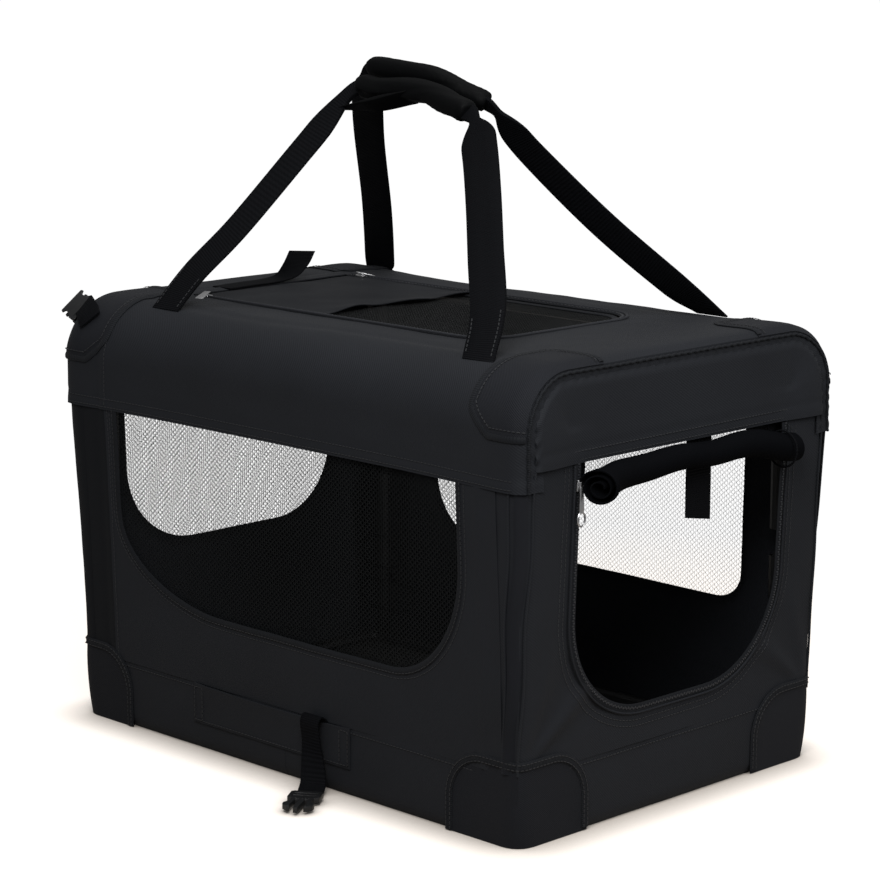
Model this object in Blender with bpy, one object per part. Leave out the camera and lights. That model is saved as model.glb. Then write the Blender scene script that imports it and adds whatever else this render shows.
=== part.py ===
"""Folding soft-sided pet crate: fabric cover over a steel tube frame, with a folding wall on each long side.

Metres, +Z up. The crate stands on z = 0, long axis along X, open door end at +X, near long side at -Y.
"""
import math

import bmesh
import bpy
from mathutils import Matrix, Vector

# Overall sizes
LENGTH = 0.600
WIDTH = 0.400
HEIGHT = 0.420
GAP = 0.0003
FABRIC = 0.0016
CORNER_R = 0.020
HX = LENGTH / 2
HY = WIDTH / 2

# Base tray and its hoop
TRAY_WALL = 0.0020
BAND_TOP = 0.0660
BOARD_THICK = 0.0055
BOARD_INSET = 0.022
TUBE_R = 0.0070
TUBE_WALL = 0.0010
HOOP_R = 0.0075
HOOP_INSET = 0.0110
HOOP_BEND = 0.012

# Top cover: a cap over the frame, a little proud of the walls
CAP_PROUD = 0.0060
CAP_THICK = 0.0025
CAP_ROUND = 0.0560
CAP_EDGE = 0.0200
SIDE_HEM = 0.3175
END_HEM = 0.3355
ARCH_INSET = 0.0130
ARCH_BEND = 0.0400
ARCH_X_INSET = 0.0110
ARCH_FOOT = 0.3660
ARCH_DROP = 0.0010
RAIL_Y = 0.1250

# Folding side posts
POST_X = 0.2700
POST_INSET = 0.0150
BASE_PIVOT_Z = 0.0245
TOP_PIVOT_Z = 0.3900
KNUCKLE_INSET = 0.0020
EYE_THICK = 0.0030
EYE_R = 0.0050
KNUCKLE_R = 0.0040
PIN_R = 0.0024
PIN_CLEAR = 0.0004
RIVET_HEAD_R = 0.0042
RIVET_HEAD = 0.0018
TUBE_BACK = 0.0100
KNUCKLE_BACK = 0.0130
FOLD_SLOT = 0.0090

# Long walls and their windows
WALL_INSET = 0.0185
WALL_HALF = HX - WALL_INSET
WALL_TOP = 0.3645
WINDOW_HALF = 0.2340
WINDOW_BOTTOM = 0.1330
WINDOW_R = 0.0900
NET_THICK = 0.0008
NET_OVERLAP = 0.0060
TIE_PAD = 0.0080
TIE_LENGTH = 0.0200

# End walls
DOOR_HALF = 0.1430
DOOR_BOTTOM = 0.0900
DOOR_TOP = 0.3320
DOOR_R = 0.0850
REAR_HALF = 0.1400
REAR_BOTTOM = 0.1580
REAR_R = 0.0620
ZIP_OFFSET = 0.0010
ZIP_WIDTH = 0.0050
ZIP_THICK = 0.0012

# Corner patches
PATCH_THICK = 0.0012
PATCH_REACH = 0.0860
PATCH_HEIGHT = 0.0780
TOP_PATCH_X = 0.2455
TOP_PATCH_LOW = 0.3620
TOP_PATCH_IN = 0.1050

# Lid in the roof
LID_X0 = -0.2340
LID_X1 = 0.1630
LID_HALF = 0.1000
LID_R = 0.0350
LID_CLEAR = 0.0007
LID_THICK = 0.0020
LID_NET_X0 = -0.0600
LID_BORDER = 0.0140

# Rolled door panel
ROLL_X = 0.3193
ROLL_Z = 0.3150
ROLL_R = 0.0155
ROLL_CORE = 0.0040
ROLL_TURNS = 2.5
ROLL_SHEET = 0.0020
TIE_CORD_R = 0.0009
ROLL_Y0 = -0.1220
ROLL_Y1 = 0.1570

# Webbing and handles
WEB_HALF = 0.0190
WEB_THICK = 0.0022
STRAP_HALF = 0.0125
STRAP_THICK = 0.0016
HANDLE_Y = 0.1720
HANDLE_LIFT = 0.0014
PAD_WIDE = 0.0122
PAD_DEEP = 0.0108
PAD_SLOT_WIDE = 0.0096
PAD_SLOT_DEEP = 0.0026
FOLDED_HALF = 0.0090
FLAP_THICK = 0.0014

# Sliders, buckles and straps
SLIDER_LONG = 0.0100
SLIDER_HALF = 0.0040
SLIDER_THICK = 0.0030
DOOR_SLIDER_Z = 0.3165
PULL_DROP = 0.0010
PULL_LONG = 0.0240
PULL_TOP_HALF = 0.0022
PULL_HALF = 0.0028
PULL_RING_R = 0.0055
PULL_HOLE_R = 0.0034
PULL_LAP = 0.0010
PULL_THICK = 0.0012
SLEEVE_X0 = -0.1290
SLEEVE_X1 = 0.0900
SLEEVE_Z0 = 0.0270
SLEEVE_Z1 = 0.0655
STRAP_X = 0.0460
STRAP_TOP = 0.0640
BUCKLE_YAW = math.radians(-56)
BUCKLE_LONG = 0.0450
BUCKLE_HALF = 0.0150
BUCKLE_THICK = 0.0050
PLUG_HEEL = 0.0040
PLUG_ON_STRAP = 0.0090
SOCKET_ROOT = (-0.3013, -0.1848, 0.4012)
SOCKET_START = 0.0080
SOCKET_LONG = 0.0235
SOCKET_HALF = 0.0150
SOCKET_DEEP = 0.0048

PIVOT_Y = HY - POST_INSET
KNUCKLE_Y = HY - KNUCKLE_INSET
KNUCKLE_Z = (BASE_PIVOT_Z + TOP_PIVOT_Z) / 2
CAP_X = HX + CAP_PROUD
CAP_Y = HY + CAP_PROUD
ROOF_Z = HEIGHT

COLOURS = {
    "cover_fabric": ((0.030, 0.032, 0.037), 0.85, 0.0),
    "net": ((0.012, 0.012, 0.013), 0.80, 0.0),
    "webbing": ((0.014, 0.015, 0.016), 0.75, 0.0),
    "padding": ((0.011, 0.012, 0.013), 0.70, 0.0),
    "steel_tube": ((0.045, 0.046, 0.048), 0.40, 0.8),
    "board": ((0.020, 0.021, 0.023), 0.60, 0.0),
    "buckle": ((0.012, 0.012, 0.013), 0.45, 0.0),
    "slider": ((0.550, 0.550, 0.560), 0.30, 1.0),
}


def clear_scene():
    for obj in list(bpy.data.objects):
        bpy.data.objects.remove(obj, do_unlink=True)


def material(slot):
    found = bpy.data.materials.get(slot)
    if found:
        return found
    colour, roughness, metallic = COLOURS[slot]
    mat = bpy.data.materials.new(slot)
    mat.use_nodes = True
    shader = mat.node_tree.nodes["Principled BSDF"]
    shader.inputs["Base Color"].default_value = (*colour, 1.0)
    shader.inputs["Roughness"].default_value = roughness
    shader.inputs["Metallic"].default_value = metallic
    return mat


def place(name, bm, slot, axis_point=(0.0, 0.0, 0.0), smooth=False):
    """Makes a named object from a bmesh given in world coordinates, with its origin on its joint's axis."""
    bmesh.ops.remove_doubles(bm, verts=bm.verts, dist=0.00002)
    bmesh.ops.recalc_face_normals(bm, faces=bm.faces)
    if bm.calc_volume(signed=True) < 0:
        bmesh.ops.reverse_faces(bm, faces=bm.faces)
    bm.transform(Matrix.Translation(-Vector(axis_point)))
    mesh = bpy.data.meshes.new(name)
    bm.to_mesh(mesh)
    bm.free()
    mesh.materials.append(material(slot))
    if smooth:
        mesh.shade_smooth()
        mesh.set_sharp_from_angle(angle=math.radians(40))
    obj = bpy.data.objects.new(name, mesh)
    obj.location = axis_point
    bpy.context.scene.collection.objects.link(obj)
    return obj


def combine(name, solids, slot, axis_point=(0.0, 0.0, 0.0), operation="UNION", smooth=False, mirror=(1, 1)):
    """Joins, or cuts, the first solid by the others and places the one body that is left, mirrored if asked."""
    made = [place(f"{name}_{n}", bm, slot) for n, bm in enumerate(solids)]
    body = made[0]
    for tool in made[1:]:
        step = body.modifiers.new("cut", "BOOLEAN")
        step.operation = operation
        step.solver = "EXACT"
        step.object = tool
    graph = bpy.context.evaluated_depsgraph_get()
    result = bmesh.new()
    result.from_object(body, graph)
    for obj in made:
        bpy.data.objects.remove(obj, do_unlink=True)
    return place(name, mirrored(result, *mirror), slot, axis_point, smooth)


def arc(cx, cy, r, start, end, count):
    """Points on a round stretch, angles in degrees."""
    steps = [math.radians(start + (end - start) * n / count) for n in range(count + 1)]
    return [(cx + r * math.cos(a), cy + r * math.sin(a)) for a in steps]


def rounded_rect(hx, hy, r, count=4):
    points = []
    for sx, sy, start in ((1, 1, 0), (-1, 1, 90), (-1, -1, 180), (1, -1, 270)):
        points += arc(sx * (hx - r), sy * (hy - r), r, start, start + 90, count)
    return points


def hull(points):
    """Convex outline round a set of plane points."""
    points = sorted(set(points))

    def half(ordered):
        out = []
        for p in ordered:
            while len(out) > 1 and cross2(out[-2], out[-1], p) <= 0:
                out.pop()
            out.append(p)
        return out[:-1]

    return half(points) + half(points[::-1])


def cross2(a, b, c):
    return (b[0] - a[0]) * (c[1] - a[1]) - (b[1] - a[1]) * (c[0] - a[0])


def lift(axis, u, v, level):
    if axis == "x":
        return (level, u, v)
    if axis == "y":
        return (u, level, v)
    return (u, v, level)


def plate(loops, axis, low, high):
    """Flat solid between two levels along an axis: the first loop is its outline, the rest are holes."""
    bm = bmesh.new()
    sides = []
    for level in (low, high):
        rings = [[bm.verts.new(lift(axis, u, v, level)) for u, v in loop] for loop in loops]
        edges = [bm.edges.new((r[i - 1], r[i])) for r in rings for i in range(len(r))]
        normal = lift(axis, 0.0, 0.0, 1.0)
        bmesh.ops.triangle_fill(bm, use_beauty=True, use_dissolve=False, edges=edges, normal=normal)
        sides.append(rings)
    for below, above in zip(*sides):
        for i in range(len(below)):
            bm.faces.new((below[i - 1], below[i], above[i], above[i - 1]))
    return bm


def stack(rings, closed=False, capped=True):
    """Skins a row of rings that hold the same number of points."""
    bm = bmesh.new()
    verts = [[bm.verts.new(p) for p in ring] for ring in rings]
    pairs = list(zip(verts, verts[1:]))
    if closed:
        pairs.append((verts[-1], verts[0]))
    for a, b in pairs:
        for i in range(len(a)):
            bm.faces.new((a[i - 1], a[i], b[i], b[i - 1]))
    if capped and not closed:
        bm.faces.new(verts[0][::-1])
        bm.faces.new(verts[-1])
    return bm


def frames_along(points):
    """Tangent and two side directions at each point, carried along without twist."""
    points = [Vector(p) for p in points]
    out = []
    side = None
    for i, p in enumerate(points):
        before = points[max(i - 1, 0)]
        after = points[min(i + 1, len(points) - 1)]
        tangent = (after - before).normalized()
        if side is None:
            side = tangent.orthogonal().normalized()
        side = (side - tangent * side.dot(tangent)).normalized()
        out.append((p, tangent, side, tangent.cross(side)))
    return out


def circle_at(p, side, up, r, count):
    angles = [2 * math.pi * n / count for n in range(count)]
    return [p + side * (r * math.cos(a)) + up * (r * math.sin(a)) for a in angles]


def pipe(points, r, wall, sides=10):
    """Open-ended tube with its bore."""
    outer = []
    inner = []
    for p, tangent, side, up in frames_along(points):
        outer.append(circle_at(p, side, up, r, sides))
        inner.append(circle_at(p, side, up, r - wall, sides))
    return stack(outer + inner[::-1], closed=True)


def box(low, high):
    (x0, y0, z0), (x1, y1, z1) = low, high
    return plate([[(x0, y0), (x1, y0), (x1, y1), (x0, y1)]], "z", z0, z1)


def mirrored(bm, sx, sy):
    bm.transform(Matrix.Diagonal((sx, sy, 1.0, 1.0)))
    return bm


def smooth_path(points, count):
    """Evenly counted points on a Catmull-Rom curve through the given ones."""
    pts = [Vector(p) for p in points]
    pts = [pts[0] * 2 - pts[1]] + pts + [pts[-1] * 2 - pts[-2]]
    spans = len(pts) - 3
    out = []
    for n in range(count + 1):
        t = spans * n / count
        k = min(int(t), spans - 1)
        t -= k
        a, b, c, d = pts[k : k + 4]
        out.append(
            0.5 * (2 * b + (c - a) * t + (2 * a - 5 * b + 4 * c - d) * t**2 + (3 * b - a - 3 * c + d) * t**3)
        )
    return out


def u_half(z, half, bottom, r):
    """Half width of a U-shaped opening at a height."""
    if z >= bottom + r:
        return half
    return half - r + math.sqrt(max(r * r - (bottom + r - z) ** 2, 0.0))


def u_side(half, bottom, r, low, high, count=6):
    """Right-hand edge of a U from a low to a high level, upwards."""
    start = math.degrees(math.asin(max(min((bottom + r - low) / r, 1.0), 0.0)))
    end = math.degrees(math.asin(max(min((bottom + r - high) / r, 1.0), 0.0)))
    points = arc(half - r, bottom + r, r, -start, -end, count)
    if high > bottom + r:
        points.append((half, high))
    return points


def u_outline(half, bottom, r, top):
    right = u_side(half, bottom, r, bottom, top)
    return [(-x, z) for x, z in reversed(right)] + right


def net_holes(outline, pitch_u, pitch_v, strand, margin):
    """Diamond meshes of a flat net, staggered, that lie well inside an outline."""
    us = [p[0] for p in outline]
    vs = [p[1] for p in outline]
    holes = []
    half_u = pitch_u - strand
    half_v = pitch_v - strand
    row = 0
    v = min(vs) + pitch_v
    while v < max(vs):
        shift = pitch_u if row % 2 else 0.0
        count = int((max(us) - min(us)) / (2 * pitch_u)) + 1
        for n in range(-count, count + 1):
            u = (max(us) + min(us)) / 2 + shift + 2 * pitch_u * n
            diamond = [(u - half_u, v), (u, v - half_v), (u + half_u, v), (u, v + half_v)]
            if all(inside(outline, p, margin) for p in diamond):
                holes.append(diamond)
        v += pitch_v
        row += 1
    return holes


def inside(outline, p, margin):
    odd = False
    for i in range(len(outline)):
        a, b = outline[i - 1], outline[i]
        if (a[1] > p[1]) != (b[1] > p[1]):
            cut = a[0] + (p[1] - a[1]) * (b[0] - a[0]) / (b[1] - a[1])
            odd ^= p[0] < cut
        ab = Vector((b[0] - a[0], b[1] - a[1]))
        ap = Vector((p[0] - a[0], p[1] - a[1]))
        t = max(0.0, min(1.0, ap.dot(ab) / max(ab.dot(ab), 1e-12)))
        if (ap - ab * t).length < margin:
            return False
    return odd


def tray():
    """Fabric floor with the low band that runs round it."""
    outer = rounded_rect(HX, HY, CORNER_R)
    inner = rounded_rect(HX - TRAY_WALL, HY - TRAY_WALL, CORNER_R - TRAY_WALL)
    rings = [(outer, 0.0), (outer, BAND_TOP), (inner, BAND_TOP), (inner, TRAY_WALL)]
    place("base_tray", stack([[(x, y, z) for x, y in ring] for ring, z in rings]), "cover_fabric")


def floor_board():
    hx, hy = HX - BOARD_INSET, HY - BOARD_INSET
    low = TRAY_WALL + GAP
    bm = plate([rounded_rect(hx, hy, CORNER_R / 2)], "z", low, low + BOARD_THICK)
    place("floor_board", bm, "board")


def rivet(x_from, x_head, y, z):
    """Pin along X with a round head on its far end."""
    way = 1 if x_head > x_from else -1
    neck = x_head - way * RIVET_HEAD
    rings = [(x_from, PIN_R), (neck, PIN_R), (neck, RIVET_HEAD_R), (x_head, RIVET_HEAD_R)]
    return stack([[(x, y + u, z + v) for u, v in circle2(0, 0, r, 12)] for x, r in rings])


def circle2(cx, cy, r, count=12):
    angles = [2 * math.pi * (n + 0.5) / count for n in range(count)]
    return [(cx + r * math.cos(a), cy + r * math.sin(a)) for a in angles]


EYE_LOW = POST_X - EYE_THICK / 2
EYE_HIGH = POST_X + EYE_THICK / 2
LUG_LOW = EYE_HIGH + GAP
LUG_HIGH = LUG_LOW + EYE_THICK
HEAD_X = EYE_LOW - GAP - RIVET_HEAD


def base_hoop():
    """Tube that runs round the floor, with a lug and rivet for each side post."""
    z = TRAY_WALL + GAP + HOOP_R
    hx, hy = HX - HOOP_INSET, HY - HOOP_INSET
    corners = rounded_rect(hx, hy, HOOP_BEND, 4)
    start = len(corners) // 2 - 2
    corners = corners[start:] + corners[:start]
    split = next(i for i in range(len(corners)) if corners[i][1] > 0 > corners[(i + 1) % len(corners)][1])
    path = corners[split + 1 :] + corners[: split + 1]
    seam_x = path[0][0]
    path = [(seam_x, -GAP)] + path + [(seam_x, GAP)]
    solids = [pipe([(x, y, z) for x, y in path], HOOP_R, TUBE_WALL)]
    for sx in (-1, 1):
        for sy in (-1, 1):
            foot = [(hy - EYE_R, z), (hy + EYE_R / 2, z)]
            lug = hull(circle2(PIVOT_Y, BASE_PIVOT_Z, EYE_R) + foot)
            solids.append(mirrored(plate([lug], "x", LUG_LOW, LUG_HIGH), sx, sy))
            pin = rivet(LUG_LOW + EYE_THICK / 2, HEAD_X, PIVOT_Y, BASE_PIVOT_Z)
            solids.append(mirrored(pin, sx, sy))
    combine("base_hoop", solids, "steel_tube", smooth=True)


def eye(centre, r, root, low, high):
    """Flat end of a post with the hole that its rivet passes through."""
    outline = hull(circle2(*centre, r) + root)
    return plate([outline, circle2(*centre, PIN_R + PIN_CLEAR, 12)], "x", low, high)


def root_block(z_low, z_high):
    half = TUBE_R - TUBE_WALL / 2
    return [(PIVOT_Y - half, z) for z in (z_low, z_high)] + [(PIVOT_Y + half, z) for z in (z_low, z_high)]


def posts(side, sy):
    """Lower and upper post at both ends of one long side."""
    for end, sx in (("door", 1), ("rear", -1)):
        low = BASE_PIVOT_Z + TUBE_BACK
        high = KNUCKLE_Z - KNUCKLE_BACK
        solids = [
            pipe([(POST_X, PIVOT_Y, low), (POST_X, PIVOT_Y, high)], TUBE_R, TUBE_WALL),
            eye((PIVOT_Y, BASE_PIVOT_Z), EYE_R, root_block(low + 0.002, low + 0.010), EYE_LOW, EYE_HIGH),
            eye((KNUCKLE_Y, KNUCKLE_Z), KNUCKLE_R, root_block(high - 0.010, high - 0.002), EYE_LOW, EYE_HIGH),
        ]
        pivot = (sx * POST_X, sy * PIVOT_Y, BASE_PIVOT_Z)
        combine(f"{side}_lower_post_{end}", solids, "steel_tube", pivot, smooth=True, mirror=(sx, sy))

        low = KNUCKLE_Z + KNUCKLE_BACK
        high = TOP_PIVOT_Z - TUBE_BACK
        outline = hull(circle2(KNUCKLE_Y, KNUCKLE_Z, KNUCKLE_R) + root_block(low + 0.002, low + 0.010))
        solids = [
            pipe([(POST_X, PIVOT_Y, low), (POST_X, PIVOT_Y, high)], TUBE_R, TUBE_WALL),
            plate([outline], "x", LUG_LOW, LUG_HIGH),
            rivet(LUG_LOW + EYE_THICK / 2, HEAD_X, KNUCKLE_Y, KNUCKLE_Z),
            eye((PIVOT_Y, TOP_PIVOT_Z), EYE_R, root_block(high - 0.010, high - 0.002), EYE_LOW, EYE_HIGH),
        ]
        pivot = (sx * POST_X, sy * KNUCKLE_Y, KNUCKLE_Z)
        combine(f"{side}_upper_post_{end}", solids, "steel_tube", pivot, smooth=True, mirror=(sx, sy))


def top_arches():
    """Rounded tube arch at each end of the roof, with its two lugs and rivets."""
    x = HX - ARCH_X_INSET
    leg = HY - ARCH_INSET
    top = ROOF_Z - CAP_THICK - ARCH_DROP - TUBE_R
    bend = arc(leg - ARCH_BEND, top - ARCH_BEND, ARCH_BEND, 0, 90, 5)
    half = [(leg, ARCH_FOOT)] + bend
    path = [(y, z) for y, z in half] + [(-y, z) for y, z in reversed(half)]
    for end, sx in (("door", 1), ("rear", -1)):
        solids = [pipe([(x, y, z) for y, z in path], TUBE_R, TUBE_WALL)]
        for sy in (-1, 1):
            lug = circle2(PIVOT_Y, TOP_PIVOT_Z, EYE_R)
            solids.append(mirrored(plate([lug], "x", LUG_LOW, x - TUBE_R / 2), 1, sy))
            pin = rivet(LUG_LOW + EYE_THICK / 2, HEAD_X, PIVOT_Y, TOP_PIVOT_Z)
            solids.append(mirrored(pin, 1, sy))
        combine(f"top_arch_{end}", solids, "steel_tube", smooth=True, mirror=(sx, 1))


def top_rails():
    reach = HX - ARCH_X_INSET - TUBE_R - GAP
    z = ROOF_Z - CAP_THICK - GAP - TUBE_R
    for side, sy in (("near", -1), ("far", 1)):
        path = [(-reach, sy * RAIL_Y, z), (reach, sy * RAIL_Y, z)]
        place(f"top_rail_{side}", pipe(path, TUBE_R, TUBE_WALL), "steel_tube", smooth=True)


def arch_profile(inset, foot, count=6):
    """Section of the top cover across X, inset from its outer face."""
    r = CAP_ROUND - inset
    y = CAP_Y - inset
    z = ROOF_Z - inset
    right = [(y, foot)] + arc(y - r, z - r, r, 0, 90, count)
    return right + [(-a, b) for a, b in reversed(right)]


def arch_block(inset, foot, edge):
    """Solid under the top cover's skin, its two ends rounded off."""
    rings = []
    for a in (90, 67, 45, 22, 0):
        shrink = inset + edge * (1 - math.cos(math.radians(a)))
        rings.append((CAP_X - inset - edge + edge * math.sin(math.radians(a)), arch_profile(shrink, foot)))
    rings += [(-x, profile) for x, profile in reversed(rings)]
    return stack([[(x, y, z) for y, z in profile] for x, profile in rings])


def lid_outline(clear):
    """Lid shape, square at its hinge and rounded at its free end."""
    x0, x1, half = LID_X0 + clear, LID_X1 - clear, LID_HALF - clear
    r = LID_R - clear
    near = arc(x1 - r, -half + r, r, -90, 0, 5)
    far = arc(x1 - r, half - r, r, 0, 90, 5)
    return [(x0, -half)] + near + far + [(x0, half)]


def roof_cover():
    """Top cover with its rounded long edges, its hems and the lid opening."""
    outer = arch_block(0.0, SIDE_HEM, CAP_EDGE)
    inner = arch_block(CAP_THICK, SIDE_HEM - 0.02, CAP_EDGE - CAP_THICK)
    solids = [outer, inner]
    for sx in (-1, 1):
        y = CAP_Y - CAP_EDGE
        hem = [(-y, SIDE_HEM - 0.01), (y, SIDE_HEM - 0.01), (y, END_HEM), (-y, END_HEM)]
        solids.append(mirrored(plate([hem], "x", HX - 0.01, HX + 0.02), sx, 1))
    solids.append(plate([lid_outline(0.0)], "z", ROOF_Z - 0.02, ROOF_Z + 0.02))
    combine("roof_cover", solids, "cover_fabric", operation="DIFFERENCE", smooth=True)


def long_wall(side, sy):
    """Lower and upper half of one long wall, each with its part of the window and its ties to the posts."""
    face = (HY - FABRIC, HY)
    half, bottom, r = WINDOW_HALF, WINDOW_BOTTOM, WINDOW_R
    low, high = BAND_TOP + GAP, KNUCKLE_Z - FOLD_SLOT
    right = u_side(half, bottom, r, bottom, high)
    outline = [(WALL_HALF, high), (WALL_HALF, low), (-WALL_HALF, low), (-WALL_HALF, high)]
    outline += [(-x, z) for x, z in reversed(right)] + right
    solids = [plate([outline], "y", *face)]
    solids += wall_ties((low + high) / 2)
    pivot = (0.0, sy * PIVOT_Y, BASE_PIVOT_Z)
    combine(f"{side}_wall_lower", solids, "cover_fabric", pivot, mirror=(1, sy))

    low, high = KNUCKLE_Z + FOLD_SLOT, WALL_TOP
    right = u_side(half, bottom, r, low, SIDE_HEM)
    outline = [(-WALL_HALF, low), (-WALL_HALF, high), (WALL_HALF, high), (WALL_HALF, low)]
    outline += right + [(-x, z) for x, z in reversed(right)]
    solids = [plate([outline], "y", *face)]
    solids += wall_ties((low + high) / 2)
    pivot = (0.0, sy * KNUCKLE_Y, KNUCKLE_Z)
    combine(f"{side}_wall_upper", solids, "cover_fabric", pivot, mirror=(1, sy))


def wall_ties(z):
    """Fabric loops behind the wall that hold it to the two posts."""
    y0 = PIVOT_Y + TUBE_R + GAP
    half = TIE_PAD / 2
    ties = []
    for x in (-POST_X, POST_X):
        low = (x - half, y0, z - TIE_LENGTH / 2)
        ties.append(box(low, (x + half, HY - FABRIC / 2, z + TIE_LENGTH / 2)))
    return ties


def long_nets(side, sy):
    """Window net behind each half of the wall."""
    face = (HY - FABRIC - GAP - NET_THICK, HY - FABRIC - GAP)
    half, bottom, r = WINDOW_HALF + NET_OVERLAP, WINDOW_BOTTOM - NET_OVERLAP, WINDOW_R + NET_OVERLAP
    high = KNUCKLE_Z - FOLD_SLOT
    right = u_side(half, bottom, r, bottom, high)
    outline = [(-x, z) for x, z in reversed(right)] + right
    holes = net_holes(outline, 0.0140, 0.0110, 0.0024, 0.0085)
    bm = mirrored(plate([outline] + holes, "y", *face), 1, sy)
    place(f"{side}_net_lower", bm, "net", (0.0, sy * PIVOT_Y, BASE_PIVOT_Z))

    low = KNUCKLE_Z + FOLD_SLOT
    right = u_side(half, bottom, r, low, SIDE_HEM + NET_OVERLAP)
    outline = [(-x, z) for x, z in reversed(right)] + right
    holes = net_holes(outline, 0.0155, 0.0150, 0.0026, 0.0085)
    bm = mirrored(plate([outline] + holes, "y", *face), 1, sy)
    place(f"{side}_net_upper", bm, "net", (0.0, sy * KNUCKLE_Y, KNUCKLE_Z))


def end_shell():
    """End wall that wraps both upright corners, before its opening is cut."""
    rings = []
    for inset in (0.0, FABRIC):
        r = CORNER_R - inset
        hx, hy = HX - inset, HY - inset
        right = arc(hx - r, hy - r, r, 90, 0, 5)
        path = [(WALL_HALF + GAP, hy)] + right + [(x, -y) for x, y in reversed(right)] + [(WALL_HALF + GAP, -hy)]
        rings.append(path)
    outline = rings[0] + rings[1][::-1]
    return plate([outline], "z", BAND_TOP + GAP, WALL_TOP)


def end_walls():
    door = u_outline(DOOR_HALF, DOOR_BOTTOM, DOOR_R, DOOR_TOP)
    cut = plate([door], "x", HX - 0.01, HX + 0.01)
    combine("door_wall", [end_shell(), cut], "cover_fabric", operation="DIFFERENCE")
    window = u_outline(REAR_HALF, REAR_BOTTOM, REAR_R, DOOR_TOP)
    cut = plate([window], "x", HX - 0.01, HX + 0.01)
    combine("rear_wall", [end_shell(), cut], "cover_fabric", operation="DIFFERENCE", mirror=(-1, 1))
    outline = u_outline(REAR_HALF + NET_OVERLAP, REAR_BOTTOM - NET_OVERLAP, REAR_R + NET_OVERLAP, DOOR_TOP + NET_OVERLAP)
    holes = net_holes(outline, 0.0160, 0.0150, 0.0026, 0.0085)
    bm = plate([outline] + holes, "x", HX - FABRIC - GAP - NET_THICK, HX - FABRIC - GAP)
    place("rear_net", mirrored(bm, -1, 1), "net")


def door_zip():
    """Zip tape that runs round the door opening."""
    inner = u_outline(DOOR_HALF + ZIP_OFFSET, DOOR_BOTTOM - ZIP_OFFSET, DOOR_R + ZIP_OFFSET, DOOR_TOP)
    wide = ZIP_OFFSET + ZIP_WIDTH
    outer = u_outline(DOOR_HALF + wide, DOOR_BOTTOM - wide, DOOR_R + wide, DOOR_TOP)
    bm = plate([outer + inner[::-1]], "x", HX + GAP, HX + GAP + ZIP_THICK)
    place("door_zip", bm, "webbing")


def base_patches():
    """Reinforcing patch round each bottom corner."""
    arc_long = CORNER_R * math.pi / 2
    flat = PATCH_REACH - CORNER_R
    total = 2 * flat + arc_long
    stations = [0.0, 0.006, 0.014, 0.026, 0.042, flat]
    stations += [flat + arc_long * n / 5 for n in range(1, 5)]
    stations += [total - s for s in (flat, 0.042, 0.026, 0.014, 0.006, 0.0)]
    for n, (sx, sy) in enumerate(((1, -1), (1, 1), (-1, 1), (-1, -1)), 1):
        rings = []
        for s in stations:
            edge = min(s, total - s)
            round_r = 0.045
            drop = max(round_r - edge, 0.0)
            height = PATCH_HEIGHT - round_r + math.sqrt(max(round_r**2 - drop**2, 0.0))
            ring = []
            for out, z in ((GAP, GAP), (GAP + PATCH_THICK, GAP), (GAP + PATCH_THICK, height), (GAP, height)):
                ring.append((*corner_point(s, flat, arc_long, out), z))
            rings.append(ring)
        place(f"base_patch_{n}", mirrored(stack(rings), sx, sy), "cover_fabric")


def corner_point(s, flat, arc_long, out):
    """Point round the upright corner at a distance along its outline, held off by out."""
    if s <= flat:
        return HX - PATCH_REACH + s, HY + out
    if s < flat + arc_long:
        a = math.pi / 2 - (s - flat) / CORNER_R
        r = CORNER_R + out
        return HX - CORNER_R + r * math.cos(a), HY - CORNER_R + r * math.sin(a)
    return HX + out, HY - PATCH_REACH + (2 * flat + arc_long - s)


def top_patches():
    """Reinforcing patch over the rounded roof edge at each top corner."""
    low, high = GAP, GAP + PATCH_THICK
    rings_at = []
    for off in (low, high):
        r = CAP_ROUND + off
        cy, cz = CAP_Y - CAP_ROUND, ROOF_Z - CAP_ROUND
        path = [(cy + r, TOP_PATCH_LOW)] + arc(cy, cz, r, 8, 90, 8)
        path += [(cy - 0.015, cz + r), (TOP_PATCH_IN + 0.012, cz + r), (TOP_PATCH_IN, cz + r)]
        rings_at.append(path)
    x1 = CAP_X - CAP_EDGE - GAP
    last = len(rings_at[0]) - 1
    for n, (sx, sy) in enumerate(((1, -1), (1, 1), (-1, 1), (-1, -1)), 1):
        rings = []
        for i, ((ya, za), (yb, zb)) in enumerate(zip(*rings_at)):
            x0 = TOP_PATCH_X + (0.012 if i in (0, last) else 0.003 if i in (1, last - 1) else 0.0)
            rings.append([(x0, ya, za), (x1, ya, za), (x1, yb, zb), (x0, yb, zb)])
        place(f"top_patch_{n}", mirrored(stack(rings), sx, sy), "cover_fabric")


def lid():
    """Roof lid: fabric sheet with a window, and the net behind it."""
    low = ROOF_Z - LID_THICK
    window = rounded_box(LID_NET_X0, LID_X1 - LID_BORDER, LID_HALF - LID_BORDER, 0.022)
    bm = plate([lid_outline(LID_CLEAR), window], "z", low, ROOF_Z)
    hinge = (LID_X0, 0.0, ROOF_Z - LID_THICK / 2)
    place("lid_panel", bm, "cover_fabric", hinge)
    lap = NET_OVERLAP
    outline = rounded_box(LID_NET_X0 - lap, LID_X1 - LID_BORDER + lap, LID_HALF - LID_BORDER + lap, 0.026)
    holes = net_holes(outline, 0.0150, 0.0145, 0.0026, 0.0085)
    bm = plate([outline] + holes, "z", low - GAP - NET_THICK, low - GAP)
    place("lid_net", bm, "net", hinge)


def rounded_box(x0, x1, half, r):
    points = arc(x1 - r, half - r, r, 0, 90, 3) + arc(x0 + r, half - r, r, 90, 180, 3)
    points += arc(x0 + r, -half + r, r, 180, 270, 3) + arc(x1 - r, -half + r, r, 270, 360, 3)
    return points


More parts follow.
